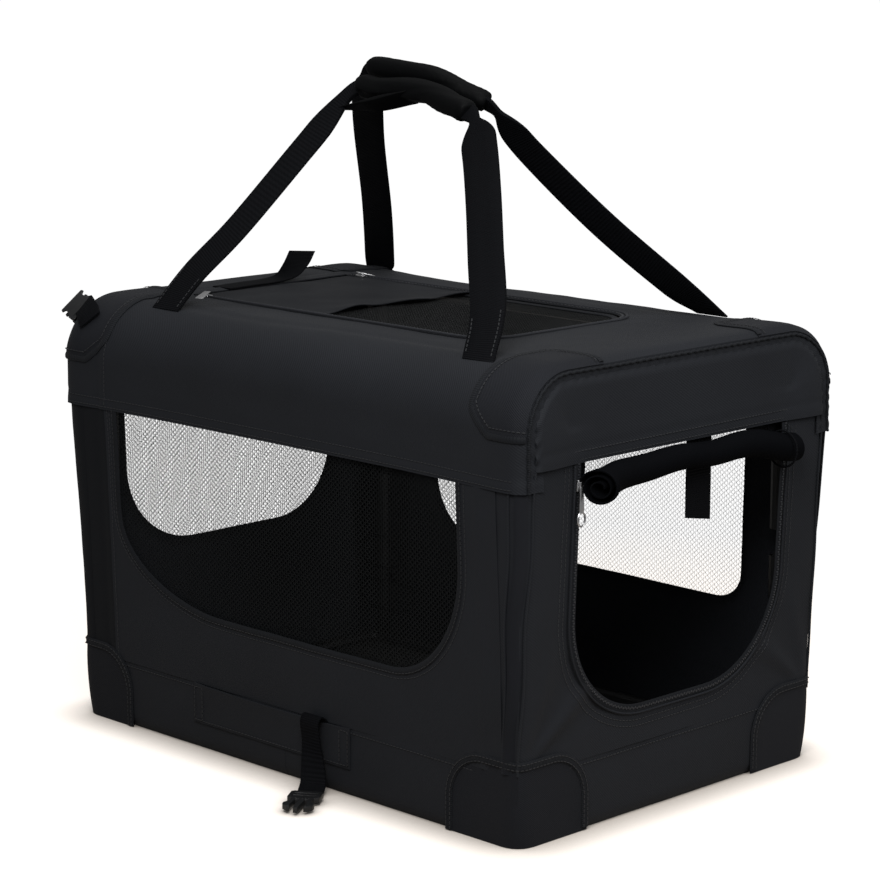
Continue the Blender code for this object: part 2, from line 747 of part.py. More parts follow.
def door_roll():
    """Door panel rolled up below its top edge, with the tail that joins it to the wall."""
    turns = int(ROLL_TURNS * 14)
    start = math.radians(180) - ROLL_TURNS * 2 * math.pi
    outer = []
    inner = []
    for n in range(turns + 1):
        t = n / turns
        a = start + t * ROLL_TURNS * 2 * math.pi
        r = ROLL_CORE + (ROLL_R - ROLL_CORE) * t
        outer.append((r * math.cos(a), r * math.sin(a)))
        inner.append(((r - ROLL_SHEET) * math.cos(a), (r - ROLL_SHEET) * math.sin(a)))
    section = spiral_section(outer, inner)
    rings = []
    for t, scale, sag in ((0, 1.0, 0), (0.12, 0.97, 0), (0.35, 0.88, -0.001), (0.6, 0.86, -0.001), (0.85, 0.95, 0), (1, 1.0, 0)):
        y = ROLL_Y0 + t * (ROLL_Y1 - ROLL_Y0)
        rings.append([(ROLL_X + u * scale, y, roll_level(v, scale, sag)) for u, v in section])
    place("rolled_door", stack(rings), "net")


def roll_level(v, scale, sag):
    """Height of a point of the roll's section; the tail above the roll keeps its own."""
    return ROLL_Z + v if v > ROLL_R else ROLL_Z + sag + v * scale


def spiral_section(outer, inner):
    """Closed section of the roll: its turns, and a flat tail up to the door's top edge."""
    top = END_HEM - 2 * GAP - ROLL_Z
    tail_out = (-ROLL_R, top)
    tail_in = (-ROLL_R + ROLL_SHEET * 0.8, top)
    return outer + [tail_out, tail_in] + inner[::-1]


def door_ties():
    """Strap that hangs behind the roll, and the cord loop round its far end."""
    x = HX + GAP
    top = END_HEM - 3 * GAP
    tie = [(0.0055, top), (0.0055, 0.2620), (0.0385, 0.2560), (0.0385, top)]
    place("door_tie_strap", plate([tie], "x", x, x + ZIP_THICK), "webbing")
    r = ROLL_R + TIE_CORD_R + GAP
    points = arc(ROLL_X, ROLL_Z, r, 0, 360, 16)[:-1]
    rings = []
    for u, v in points:
        out = Vector((u - ROLL_X, 0.0, v - ROLL_Z)).normalized()
        centre = Vector((u, ROLL_Y1 - 0.005, v))
        rings.append(circle_at(centre, out, Vector((0.0, 1.0, 0.0)), TIE_CORD_R, 6))
    place("door_tie_loop", stack(rings, closed=True), "webbing")


def slider_body(long, half, thick):
    """Zip slider seen from above, tapered towards its tail, lying along +X."""
    outline = [(-long / 2, -half * 0.6), (0.0, -half), (long / 2, -half), (long / 2, half), (0.0, half), (-long / 2, half * 0.6)]
    return plate([outline], "z", 0.0, thick)


def door_slider():
    z = DOOR_SLIDER_Z
    x = HX + 2 * GAP + ZIP_THICK
    y = -(DOOR_HALF + ZIP_OFFSET + ZIP_WIDTH / 2)
    turn = Matrix.Translation((x, y, z)) @ Matrix.Rotation(math.pi / 2, 4, "Y")
    body = slider_body(SLIDER_LONG, SLIDER_HALF, SLIDER_THICK)
    body.transform(turn)
    place("door_slider", body, "slider", (x, y, z))
    top = z - PULL_DROP
    low = top - PULL_LONG
    outline = [(y - PULL_TOP_HALF, top), (y - PULL_HALF, low), (y + PULL_HALF, low), (y + PULL_TOP_HALF, top)]
    middle = low - PULL_RING_R + PULL_LAP
    joined = hull(outline + circle2(y, middle, PULL_RING_R, 14))
    hole = circle2(y, middle, PULL_HOLE_R, 12)
    px = x + SLIDER_THICK + GAP
    place("door_slider_pull", plate([joined, hole], "x", px, px + PULL_THICK), "slider", (px, y, top))


def lid_sliders():
    z = ROOF_Z + GAP
    for side, sy in (("near", -1), ("far", 1)):
        point = (LID_X0 + 0.015, sy * (LID_HALF + 0.0045), z)
        body = slider_body(SLIDER_LONG * 1.2, SLIDER_HALF, SLIDER_THICK)
        tab = plate([[(-0.004, -0.0025), (0.016, -0.003), (0.016, 0.003), (-0.004, 0.0025)]], "z", SLIDER_THICK / 2, SLIDER_THICK + 0.001)
        for bm in (body, tab):
            bm.transform(Matrix.Translation(point))
        combine(f"lid_slider_{side}", [body, tab], "slider", point)


def ribbon(points, widths, halves, thicks):
    """Flat strap through points, with a width direction, half width and thickness at each."""
    rings = []
    last = len(points) - 1
    for i, p in enumerate(points):
        tangent = (points[min(i + 1, last)] - points[max(i - 1, 0)]).normalized()
        w = widths[i].normalized()
        n = tangent.cross(w).normalized()
        a, b = w * halves[i], n * (thicks[i] / 2)
        rings.append([p - a - b, p + a - b, p + a + b, p - a + b])
    return stack(rings)


HANDLE_SURFACE = ROOF_Z - CAP_ROUND + math.sqrt(CAP_ROUND**2 - (HANDLE_Y - (CAP_Y - CAP_ROUND)) ** 2)
HANDLE_Z = HANDLE_SURFACE + HANDLE_LIFT

NEAR_GRIP = [(-0.100, -0.012, 0.6215), (-0.067, -0.012, 0.6250), (-0.034, -0.012, 0.6265)]
NEAR_GRIP += [(0.001, -0.012, 0.6215), (0.034, -0.012, 0.6130), (0.062, -0.012, 0.6040)]
FAR_GRIP = [(-0.104, 0.012, 0.6400), (-0.062, 0.012, 0.6445), (-0.016, 0.012, 0.6385)]
FAR_GRIP += [(0.020, 0.012, 0.6290), (0.052, 0.012, 0.6200)]


def handle_plane(sy, grip, lift):
    """Point on a carrying loop's hinge line, its direction up the loop, and the loop's normal."""
    hinge = Vector((0.0, sy * HANDLE_Y, HANDLE_Z + lift))
    lean = Vector((0.0, grip[2][1] - hinge.y, grip[2][2] - hinge.z)).normalized()
    return hinge, lean, Vector((1.0, 0.0, 0.0)).cross(lean)


def handle(side, sy, grip, feet, lift, rear_leg, door_leg):
    """One carrying loop: a webbing strap from roof edge to roof edge, folded inside its padded grip."""
    hinge, lean, normal = handle_plane(sy, grip, lift)
    start, end = (hinge + Vector((x, 0.0, 0.0)) for x in feet)
    route = [start] + [Vector(p) for p in rear_leg + grip + door_leg] + [end]
    route = [p - normal * (p - start).dot(normal) for p in route]
    count = 40
    points = smooth_path(route, count)
    first = len(rear_leg) + 1
    grip_from = first / (len(route) - 1) * count
    grip_to = (first + len(grip) - 1) / (len(route) - 1) * count
    widths = []
    halves = []
    thicks = []
    for i, p in enumerate(points):
        before, after = points[max(i - 1, 0)], points[min(i + 1, count)]
        flat = normal.cross((after - before).normalized())
        edge = min(i, count - i) / 3
        way = Vector((-1.0 if i < count / 2 else 1.0, 0.0, 0.0))
        widths.append(flat if edge >= 1 else way * (1 - edge) + flat * edge)
        away = max(grip_from - i, i - grip_to, 0.0)
        share = min(max((away - 0.4) / 2.5, 0.0), 1.0)
        halves.append(FOLDED_HALF + (WEB_HALF - FOLDED_HALF) * share)
        thicks.append(WEB_THICK * (2 - share))
    axis_point = tuple(hinge)
    place(f"{side}_handle_webbing", ribbon(points, widths, halves, thicks), "webbing", axis_point)

    begin, finish = math.ceil(grip_from), math.floor(grip_to)
    outer = []
    inner = []
    for i in range(begin, finish + 1):
        p = points[i]
        w = normal.cross((points[i + 1] - points[i - 1]).normalized()).normalized()
        edge = min(i - begin, finish - i)
        swell = 0.80 if edge == 0 else 0.94 if edge == 1 else 1.0
        outer.append(oval(p, w, normal, PAD_WIDE * swell, PAD_DEEP * swell, 1.0))
        inner.append(oval(p, w, normal, PAD_SLOT_WIDE, PAD_SLOT_DEEP, 0.12))
    place(f"{side}_grip_pad", stack(outer + inner[::-1], closed=True), "padding", axis_point, smooth=True)


def oval(p, w, n, a, b, power):
    """Ring of 16 points: an ellipse at power 1, close to a rectangle at a low power."""
    ring = []
    for k in range(16):
        angle = 2 * math.pi * (k + 0.5) / 16
        c, s = math.cos(angle), math.sin(angle)
        u = math.copysign(abs(c) ** power, c)
        v = math.copysign(abs(s) ** power, s)
        ring.append(p + w * (a * u) + n * (b * v))
    return ring


def handles():
    near_rear = [(-0.187, -0.145, 0.452), (-0.160, -0.110, 0.495), (-0.126, -0.050, 0.570)]
    near_door = [(0.084, -0.032, 0.586), (0.125, -0.070, 0.540), (0.165, -0.105, 0.497), (0.203, -0.142, 0.453)]
    handle("near", -1, NEAR_GRIP, (-0.200, 0.222), 0.0, near_rear, near_door)
    far_rear = [(-0.245, 0.155, 0.440), (-0.205, 0.112, 0.497), (-0.150, 0.050, 0.585)]
    far_door = [(0.078, 0.045, 0.592), (0.110, 0.086, 0.538), (0.160, 0.138, 0.461)]
    handle("far", 1, FAR_GRIP, (-0.262, 0.196), PATCH_THICK + GAP, far_rear, far_door)


def grip_flap():
    """Free end of the wrap that closes round both grips."""
    hinge, lean, normal = handle_plane(-1, NEAR_GRIP, 0.0)
    under = Vector(NEAR_GRIP[1]) - normal * (PAD_DEEP + GAP + FLAP_THICK)
    outline = [(-0.054, -0.0085), (-0.064, -0.002), (-0.058, 0.0095), (0.010, 0.0100), (0.010, -0.0100)]
    bm = plate([outline], "z", 0.0, FLAP_THICK)
    bm.transform(Matrix.Rotation(math.radians(-5), 4, "Y"))
    turn = Matrix((Vector((1.0, 0.0, 0.0)), lean, normal)).transposed().to_4x4()
    bm.transform(Matrix.Translation(under) @ turn)
    place("grip_flap", bm, "padding", tuple(hinge))


def lid_tie():
    """Strap beside the lid's hinge that holds the lid when it is rolled up."""
    x = LID_X0 - 0.016
    z = ROOF_Z + GAP + STRAP_THICK / 2
    route = [(x, -0.058, z), (x, -0.030, z), (x + 0.002, -0.008, z + 0.0012), (x + 0.006, 0.006, z + 0.009), (x + 0.010, 0.013, z + 0.024)]
    points = smooth_path(route, 14)
    count = len(points)
    bm = ribbon(points, [Vector((1.0, 0.0, 0.0))] * count, [STRAP_HALF] * count, [STRAP_THICK] * count)
    place("lid_tie_strap", bm, "webbing", (x, -0.058, z))


def strap_sleeve():
    """Flat fabric sleeve on the near band that the closing strap comes out of."""
    outline = [(SLEEVE_X0, SLEEVE_Z0), (SLEEVE_X1, SLEEVE_Z0), (SLEEVE_X1, SLEEVE_Z1), (SLEEVE_X0, SLEEVE_Z1)]
    y = HY + GAP
    place("strap_sleeve", mirrored(plate([outline], "y", y, y + FABRIC), 1, -1), "cover_fabric")


def closing_strap():
    """Strap that hangs from the sleeve to the floor, and the plug half of its buckle."""
    y = -(HY + GAP + FABRIC + GAP + STRAP_THICK / 2)
    floor = 2 * GAP + STRAP_THICK / 2
    along = Vector((math.cos(BUCKLE_YAW), math.sin(BUCKLE_YAW), 0.0))
    across = Vector((-along.y, along.x, 0.0))
    bend = Vector((STRAP_X + 0.0120, y - 0.0180, floor + 0.0032))
    ground = Vector((bend.x, bend.y, floor))
    end = ground + along * 0.026
    route = [(STRAP_X, y, STRAP_TOP), (STRAP_X + 0.0015, y - 0.0008, STRAP_TOP - 0.018)]
    route += [(STRAP_X + 0.0050, y - 0.0055, 0.0270), (STRAP_X + 0.0090, y - 0.0120, 0.0125), bend]
    route += [ground + along * 0.006 + Vector((0.0, 0.0, 0.0007)), ground + along * 0.012, end]
    points = smooth_path(route, 18)
    count = len(points)
    widths = []
    for p in points:
        turned = min(max((y - p.y) / (y - bend.y), 0.0), 1.0)
        widths.append(Vector((1.0, 0.0, 0.0)).lerp(across, turned))
    bm = ribbon(points, widths, [STRAP_HALF] * count, [STRAP_THICK] * count)
    place("closing_strap", bm, "webbing", (STRAP_X, y, STRAP_TOP))

    low = floor + STRAP_THICK / 2 + 2 * GAP
    bm = plate(plug_outline(), "z", low, low + BUCKLE_THICK)
    base = end - along * PLUG_ON_STRAP
    heel = base - along * PLUG_HEEL
    bm.transform(Matrix.Translation((base.x, base.y, 0.0)) @ Matrix.Rotation(BUCKLE_YAW, 4, "Z"))
    place("plug_buckle", bm, "buckle", (heel.x, heel.y, low))


def plug_outline():
    """Plug half of the buckle along +X: strap bar, middle tongue and two sprung arms."""
    h, tip = BUCKLE_HALF, BUCKLE_LONG
    half = [
        (-PLUG_HEEL, h - 0.003), (-0.002, h), (0.014, h), (0.016, h - 0.0045), (0.024, h - 0.0050),
        (0.031, h - 0.0005), (0.036, h - 0.0010), (tip - 0.004, h - 0.0060), (tip - 0.004, h - 0.0085),
        (0.034, h - 0.0075), (0.020, h - 0.0090), (0.020, 0.0030), (tip, 0.0020),
    ]
    outline = [(x, -y) for x, y in half] + half[::-1]
    slot = [(0.0015, -h + 0.004), (0.0045, -h + 0.004), (0.0045, h - 0.004), (0.0015, h - 0.004)]
    second = [(0.0080, -h + 0.004), (0.0110, -h + 0.004), (0.0110, h - 0.004), (0.0080, h - 0.004)]
    return [outline, slot, second]


def socket_buckle():
    """Socket half of the other buckle on its short strap, at the near rear top corner."""
    reach = Vector((-0.944, 0.100, 0.315)).normalized()
    across = Vector((0.300, 0.660, 0.690))
    across = (across - reach * across.dot(reach)).normalized()
    out = across.cross(reach)
    turn = Matrix((reach, -across, out)).transposed().to_4x4()
    pivot = Vector(SOCKET_ROOT)
    frame = Matrix.Translation(pivot) @ turn
    half = STRAP_THICK / 2
    strap = box((0.0, -STRAP_HALF, -half), (SOCKET_START + 0.0040, STRAP_HALF, half))
    strap.transform(frame)
    place("socket_strap", strap, "webbing", pivot)
    end = SOCKET_START + SOCKET_LONG
    shell = plate([rounded_rect(SOCKET_HALF, SOCKET_DEEP, 0.0018, 2)], "x", SOCKET_START, end)
    pocket = box((SOCKET_START - 0.001, -STRAP_HALF - GAP, -half - GAP), (SOCKET_START + 0.0045, STRAP_HALF + GAP, half + GAP))
    mouth = box((end - 0.0160, -SOCKET_HALF + 0.0030, -0.0028), (end + 0.001, SOCKET_HALF - 0.0030, 0.0028))
    window = box((end - 0.0130, -0.0200, -0.0023), (end - 0.0055, 0.0200, 0.0023))
    solids = [shell, pocket, mouth, window]
    for bm in solids:
        bm.transform(frame)
    combine("socket_buckle", solids, "buckle", pivot, operation="DIFFERENCE")


def build():
    clear_scene()
    tray()
    floor_board()
    base_hoop()
    for side, sy in (("near", -1), ("far", 1)):
        posts(side, sy)
        long_wall(side, sy)
        long_nets(side, sy)
    top_arches()
    top_rails()
    roof_cover()
    end_walls()
    door_zip()
    base_patches()
    top_patches()
    lid()
    door_roll()
    door_ties()
    door_slider()
    lid_sliders()
    handles()
    grip_flap()
    lid_tie()
    strap_sleeve()
    closing_strap()
    socket_buckle()


build()
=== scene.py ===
"""Folding soft-sided pet crate: cloth, nets, webbing, zips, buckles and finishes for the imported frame."""
import math

import bmesh
import bpy
from bpy.props import FloatProperty, FloatVectorProperty, PointerProperty
from mathutils import Matrix, Vector, noise


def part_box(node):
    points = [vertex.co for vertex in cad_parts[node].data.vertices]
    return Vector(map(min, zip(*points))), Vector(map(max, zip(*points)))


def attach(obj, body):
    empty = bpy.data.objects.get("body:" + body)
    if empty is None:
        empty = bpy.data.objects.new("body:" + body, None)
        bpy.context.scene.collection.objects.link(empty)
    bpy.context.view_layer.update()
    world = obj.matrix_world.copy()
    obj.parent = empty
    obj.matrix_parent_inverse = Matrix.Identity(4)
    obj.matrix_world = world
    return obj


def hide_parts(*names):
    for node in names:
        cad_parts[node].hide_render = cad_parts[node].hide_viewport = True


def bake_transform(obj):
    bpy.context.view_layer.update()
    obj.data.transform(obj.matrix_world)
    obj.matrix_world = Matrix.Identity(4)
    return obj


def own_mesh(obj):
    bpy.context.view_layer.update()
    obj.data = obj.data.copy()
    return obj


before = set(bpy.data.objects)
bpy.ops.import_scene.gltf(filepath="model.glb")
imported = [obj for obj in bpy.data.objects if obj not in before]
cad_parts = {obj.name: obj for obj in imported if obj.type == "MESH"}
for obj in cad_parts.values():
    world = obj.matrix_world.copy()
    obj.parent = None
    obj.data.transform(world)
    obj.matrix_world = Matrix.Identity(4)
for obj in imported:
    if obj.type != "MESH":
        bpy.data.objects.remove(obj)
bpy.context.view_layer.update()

bl_info = {
    "name": "Folding Pet Crate",
    "version": (1, 0, 0),
    "blender": (4, 5, 0),
    "location": "3D View > Sidebar > Crate",
    "description": "Cloth, nets, webbing and finishes of a folding soft-sided pet crate",
    "category": "Object",
}

# Sizes shared with the solids, in metres
HX, HY, ROOF_Z = 0.300, 0.200, 0.420
CORNER_R = 0.020
BAND_TOP = 0.066
CAP_X, CAP_Y = 0.306, 0.206
CAP_ROUND, CAP_EDGE = 0.056, 0.020
SIDE_HEM, END_HEM = 0.3175, 0.3355
WALL_HALF, WALL_TOP = 0.2815, 0.3645
WINDOW_HALF, WINDOW_BOTTOM = 0.234, 0.133
DOOR_HALF, DOOR_BOTTOM, DOOR_TOP, DOOR_R = 0.141, 0.0985, 0.332, 0.098
REAR_HALF, REAR_BOTTOM, REAR_R = 0.140, 0.158, 0.082
PATCH_REACH, PATCH_HEIGHT, PATCH_BEND = 0.086, 0.078, 0.045
TOP_PATCH_X, TOP_PATCH_LOW, TOP_PATCH_IN = 0.2455, 0.362, 0.105
LID_X0, LID_X1, LID_HALF, LID_R, LID_NET_X0 = -0.234, 0.163, 0.100, 0.035, -0.060
ROLL_X, ROLL_Z, ROLL_R, ROLL_CORE, ROLL_TURNS = 0.3193, 0.315, 0.0155, 0.004, 2.5
ROLL_Y0, ROLL_Y1 = -0.134, 0.144
SLEEVE_X0, SLEEVE_X1, SLEEVE_Z0, SLEEVE_Z1 = -0.129, 0.090, 0.027, 0.0655
STRAP_X, STRAP_HALF, STRAP_THICK = 0.046, 0.0125, 0.0016
WEB_HALF, WEB_THICK, FOLDED_HALF = 0.019, 0.0022, 0.009
HANDLE_Y, HANDLE_LIFT, PATCH_LIFT = 0.172, 0.0014, 0.0015
PAD_WIDE, PAD_DEEP = 0.0122, 0.0108
STRAP_Y = -(HY + 0.0030)
STRAP_FOOT = (STRAP_X + 0.0120, STRAP_Y - 0.0180)
BUCKLE_YAW = math.radians(-56)
BUCKLE_WAY = Vector((math.cos(BUCKLE_YAW), math.sin(BUCKLE_YAW), 0.0))
BUCKLE_LONG, BUCKLE_HALF, BUCKLE_THICK = 0.045, 0.015, 0.005
SOCKET_ROOT = Vector((-0.3013, -0.1848, 0.4012))
SOCKET_START, SOCKET_LONG, SOCKET_HALF, SOCKET_DEEP = 0.008, 0.0235, 0.015, 0.0048
SLIDER_SHIFT = 0.0062
MIDDLE = Vector((0.0, 0.0, 0.2))

SIDES = (("near", -1.0), ("far", 1.0))
CORNERS = ((1, -1), (1, 1), (-1, 1), (-1, -1))
STRIP_TOP = 0.120
HEM_ROWS, HEM_TUCK = (0.0030, 0.0105), 0.0050
# DARK_X and DARK_Y bound the painted shade on the rear corners' cloth
SEAM_X, REAR_RIDGE, DARK_X, DARK_Y = -0.2455, -0.2515, -0.2510, 0.185
LEAN_FROM, LEAN_RISE, LEAN_MOST = 0.085, 0.235, 0.0108
AIR_FRAMES = 20

# Camera of the photograph
EYE = Vector((1.94097, -1.92655, 0.82686))
VIEW = Vector((-0.69615, 0.69187, -0.19153))
RIGHT = Vector((0.70477, 0.70944, 0.0011))
LENS_MM = 118.2


def size_prop(name, description, default):
    return FloatProperty(name=name, description=description, default=default, unit="LENGTH")


def colour_prop(name, description, default):
    return FloatVectorProperty(name=name, description=description, default=default, subtype="COLOR", size=3)


class CrateSizes(bpy.types.PropertyGroup):
    cloth: size_prop("Cloth thickness", "Thickness of the cover's fabric", 0.0012)
    cell: size_prop("Cloth cell", "Size of the mesh cells that the cover is draped with", 0.0046)
    pucker: size_prop("Pucker", "How far the cover stands off its even shape", 0.0011)
    binding: size_prop("Binding width", "Width of the tape round the windows", 0.0070)
    stitch: size_prop("Stitch", "Length of one stitch", 0.0030)
    stitch_gap: size_prop("Stitch gap", "Space between two stitches", 0.0014)
    thread: size_prop("Thread", "Thickness of the sewing thread", 0.0007)
    hole_across: size_prop("Net hole across", "Spacing of the net's holes along a row", 0.0058)
    hole_along: size_prop("Net hole along", "Spacing of the net's holes within a column", 0.0050)
    strand: size_prop("Net strand", "Width of the net's threads", 0.00100)
    tooth: size_prop("Zip tooth pitch", "Spacing of the zips' teeth", 0.0024)


class CrateColours(bpy.types.PropertyGroup):
    cover: colour_prop("Cover", "Fabric of the walls and the roof", (0.0105, 0.0115, 0.0140))
    patch: colour_prop("Patch", "Fabric of the corner patches", (0.0075, 0.0082, 0.0105))
    lining: colour_prop("Lining", "Inner face of the cloth", (0.0022, 0.0024, 0.0028))
    net: colour_prop("Net", "Threads of the nets", (0.0050, 0.0056, 0.0060))
    webbing: colour_prop("Webbing", "Carrying loops and straps", (0.0036, 0.0038, 0.0046))
    padding: colour_prop("Padding", "Smooth fabric of the grips", (0.0040, 0.0043, 0.0048))
    binding: colour_prop("Binding", "Tape along the edges", (0.0072, 0.0080, 0.0098))
    piping: colour_prop("Piping", "Corded seams and zip coils", (0.0170, 0.0180, 0.0210))
    thread: colour_prop("Thread", "Sewing thread", (0.0105, 0.0112, 0.0132))
    plastic: colour_prop("Plastic", "Moulded buckles", (0.0070, 0.0072, 0.0078))
    steel: colour_prop("Steel", "Painted tubes and rivets", (0.0035, 0.0036, 0.0039))
    metal: colour_prop("Metal", "Zip sliders", (0.6000, 0.6000, 0.6100))
    # the floor board's covering, darkened further as painted shade so the crate's inside reads dark
    board: colour_prop("Board", "Floor board", (0.0014, 0.0015, 0.0017))


# Shared effects


def feed(tree, node, inputs):
    """Gives a node's inputs a value or another node's output."""
    for label, value in inputs.items():
        if isinstance(value, bpy.types.NodeSocket):
            tree.links.new(value, node.inputs[label])
        else:
            node.inputs[label].default_value = value


def add(tree, kind, inputs=None, **settings):
    """Shader node with its settings, made before its inputs are fed."""
    node = tree.nodes.new("ShaderNode" + kind)
    for key, value in settings.items():
        setattr(node, key, value)
    feed(tree, node, inputs or {})
    return node


def math_node(tree, operation, *values):
    return add(tree, "Math", dict(enumerate(values)), operation=operation).outputs[0]


def new_group(name, numbers, outputs):
    """Node group that reads a vector and some numbers."""
    tree = bpy.data.node_groups.new(name, "ShaderNodeTree")
    tree.interface.new_socket(name="Vector", in_out="INPUT", socket_type="NodeSocketVector")
    for kind, labels in (("INPUT", numbers), ("OUTPUT", outputs)):
        for label in labels:
            tree.interface.new_socket(name=label, in_out=kind, socket_type="NodeSocketFloat")
    return tree, tree.nodes.new("NodeGroupInput").outputs, tree.nodes.new("NodeGroupOutput")


def weave_group():
    """Two sets of threads that cross, or run in slanted ribs, as a height and a shade; the shade is random tone mixed
    with painted shade where the threads lie low.
    """
    tree, given, result = new_group("weave", ("Threads", "Slant"), ("Height", "Shade"))
    parts = add(tree, "SeparateXYZ", {0: given["Vector"]}).outputs
    turns = math_node(tree, "MULTIPLY", given["Threads"], 2 * math.pi)
    across = math_node(tree, "MULTIPLY", parts["X"], turns)
    along = math_node(tree, "MULTIPLY", parts["Y"], turns)
    plain = math_node(tree, "MULTIPLY", math_node(tree, "SINE", across), math_node(tree, "SINE", along))
    slanted = math_node(tree, "SINE", math_node(tree, "ADD", across, along))
    both = math_node(tree, "MULTIPLY", slanted, given["Slant"])
    rest = math_node(tree, "SUBTRACT", 1.0, given["Slant"])
    total = math_node(tree, "MULTIPLY_ADD", plain, rest, both)
    height = math_node(tree, "MULTIPLY_ADD", total, 0.5, 0.5)
    blur = add(tree, "TexNoise", {"Vector": given["Vector"], "Scale": 900.0, "Detail": 2.0})
    # random tone from noise, plus painted shade: lower threads darker
    shade = math_node(tree, "MULTIPLY_ADD", blur.outputs["Fac"], 0.6, math_node(tree, "MULTIPLY", height, 0.4))
    feed(tree, result, {"Height": height, "Shade": shade})
    return tree


def wear_group():
    """Uneven patches of rubbed and dusty surface, as a mask."""
    tree, given, result = new_group("wear", ("Scale",), ("Mask",))
    source = {"Vector": given["Vector"], "Scale": given["Scale"]}
    broad = add(tree, "TexNoise", {**source, "Detail": 6.0, "Roughness": 0.62})
    ramp = add(tree, "MapRange", {"Value": broad.outputs["Fac"], "From Min": 0.35, "From Max": 0.68})
    feed(tree, result, {"Mask": ramp.outputs[0]})
    return tree


def rib_group():
    """Even ridges across a strap, as a height."""
    tree, given, result = new_group("ribs", ("Ribs",), ("Height",))
    parts = add(tree, "SeparateXYZ", {0: given["Vector"]}).outputs
    turns = math_node(tree, "MULTIPLY", given["Ribs"], 2 * math.pi)
    wave = math_node(tree, "SINE", math_node(tree, "MULTIPLY", parts["Y"], turns))
    feed(tree, result, {"Height": math_node(tree, "MULTIPLY_ADD", wave, 0.5, 0.5)})
    return tree


def place_group(tree, name, vector, **values):
    """Outputs of a shared group, which is made when it is first asked for."""
    group = bpy.data.node_groups.get(name)
    group = group or {"weave": weave_group, "wear": wear_group, "ribs": rib_group}[name]()
    return add(tree, "Group", {"Vector": vector, **values}, node_tree=group).outputs


def darker(colour, share):
    return tuple(c * share for c in colour)


def start_material(name, colour, rough, mask, worn):
    """Principled surface whose colour and roughness vary with a mask."""
    mat = bpy.data.materials.new(name)
    mat.use_nodes = True
    tree = mat.node_tree
    shader = tree.nodes["Principled BSDF"]
    coords = add(tree, "TexCoord").outputs["Object"]
    wear = place_group(tree, "wear", coords, Scale=mask)["Mask"]
    tones = {"Factor": wear, "A": (*colour, 1.0), "B": (*darker(colour, worn), 1.0)}
    tone = add(tree, "Mix", tones, data_type="RGBA").outputs["Result"]
    matt = add(tree, "MapRange", {"Value": wear, "To Min": rough, "To Max": min(rough + 0.12, 1.0)})
    feed(tree, shader, {"Roughness": matt.outputs[0]})
    return mat, tree, shader, tone, coords


def cloth_material(name, colour, rough, threads, slant, depth, worn=1.18, sheen=0.02, ribs=0.0, gloss=0.10):
    """Woven cloth that reads the piece's own cloth map, laid out in metres."""
    mat, tree, shader, tone, _ = start_material(name, colour, rough, 7.0, worn)
    cloth = add(tree, "UVMap", uv_map="cloth").outputs["UV"]
    weave = place_group(tree, "weave", cloth, Threads=threads, Slant=slant)
    # the weave's shade, partly painted shade in its low threads, darkens and lightens the cloth's colour
    grey = add(tree, "MapRange", {"Value": weave["Shade"], "To Min": 0.55, "To Max": 1.35}).outputs[0]
    shaded = add(tree, "Mix", {"Factor": 0.45, "A": tone, "B": grey}, data_type="RGBA", blend_type="MULTIPLY")
    bump = add(tree, "Bump", {"Strength": 0.8, "Distance": depth, "Height": weave["Height"]}).outputs["Normal"]
    if ribs:
        ridge = place_group(tree, "ribs", cloth, Ribs=ribs)["Height"]
        ridges = {"Strength": 0.9, "Distance": depth * 2.0, "Height": ridge, "Normal": bump}
        bump = add(tree, "Bump", ridges).outputs["Normal"]
    feed(tree, shader, {"Base Color": shaded.outputs["Result"], "Normal": bump, "Specular IOR Level": gloss})
    feed(tree, shader, {"Sheen Weight": sheen, "Sheen Roughness": 0.45})
    return mat


def hard_material(name, colour, rough, metallic=0.0, grain=60.0, depth=0.00005, worn=1.25):
    """Moulded, painted or cast surface that reads Object coordinates."""
    mat, tree, shader, tone, coords = start_material(name, colour, rough, 18.0, worn)
    speck = add(tree, "TexNoise", {"Vector": coords, "Scale": grain * 10, "Detail": 3.0}).outputs["Fac"]
    bump = add(tree, "Bump", {"Strength": 0.5, "Distance": depth, "Height": speck}).outputs["Normal"]
    feed(tree, shader, {"Base Color": tone, "Metallic": metallic, "Normal": bump})
    return mat


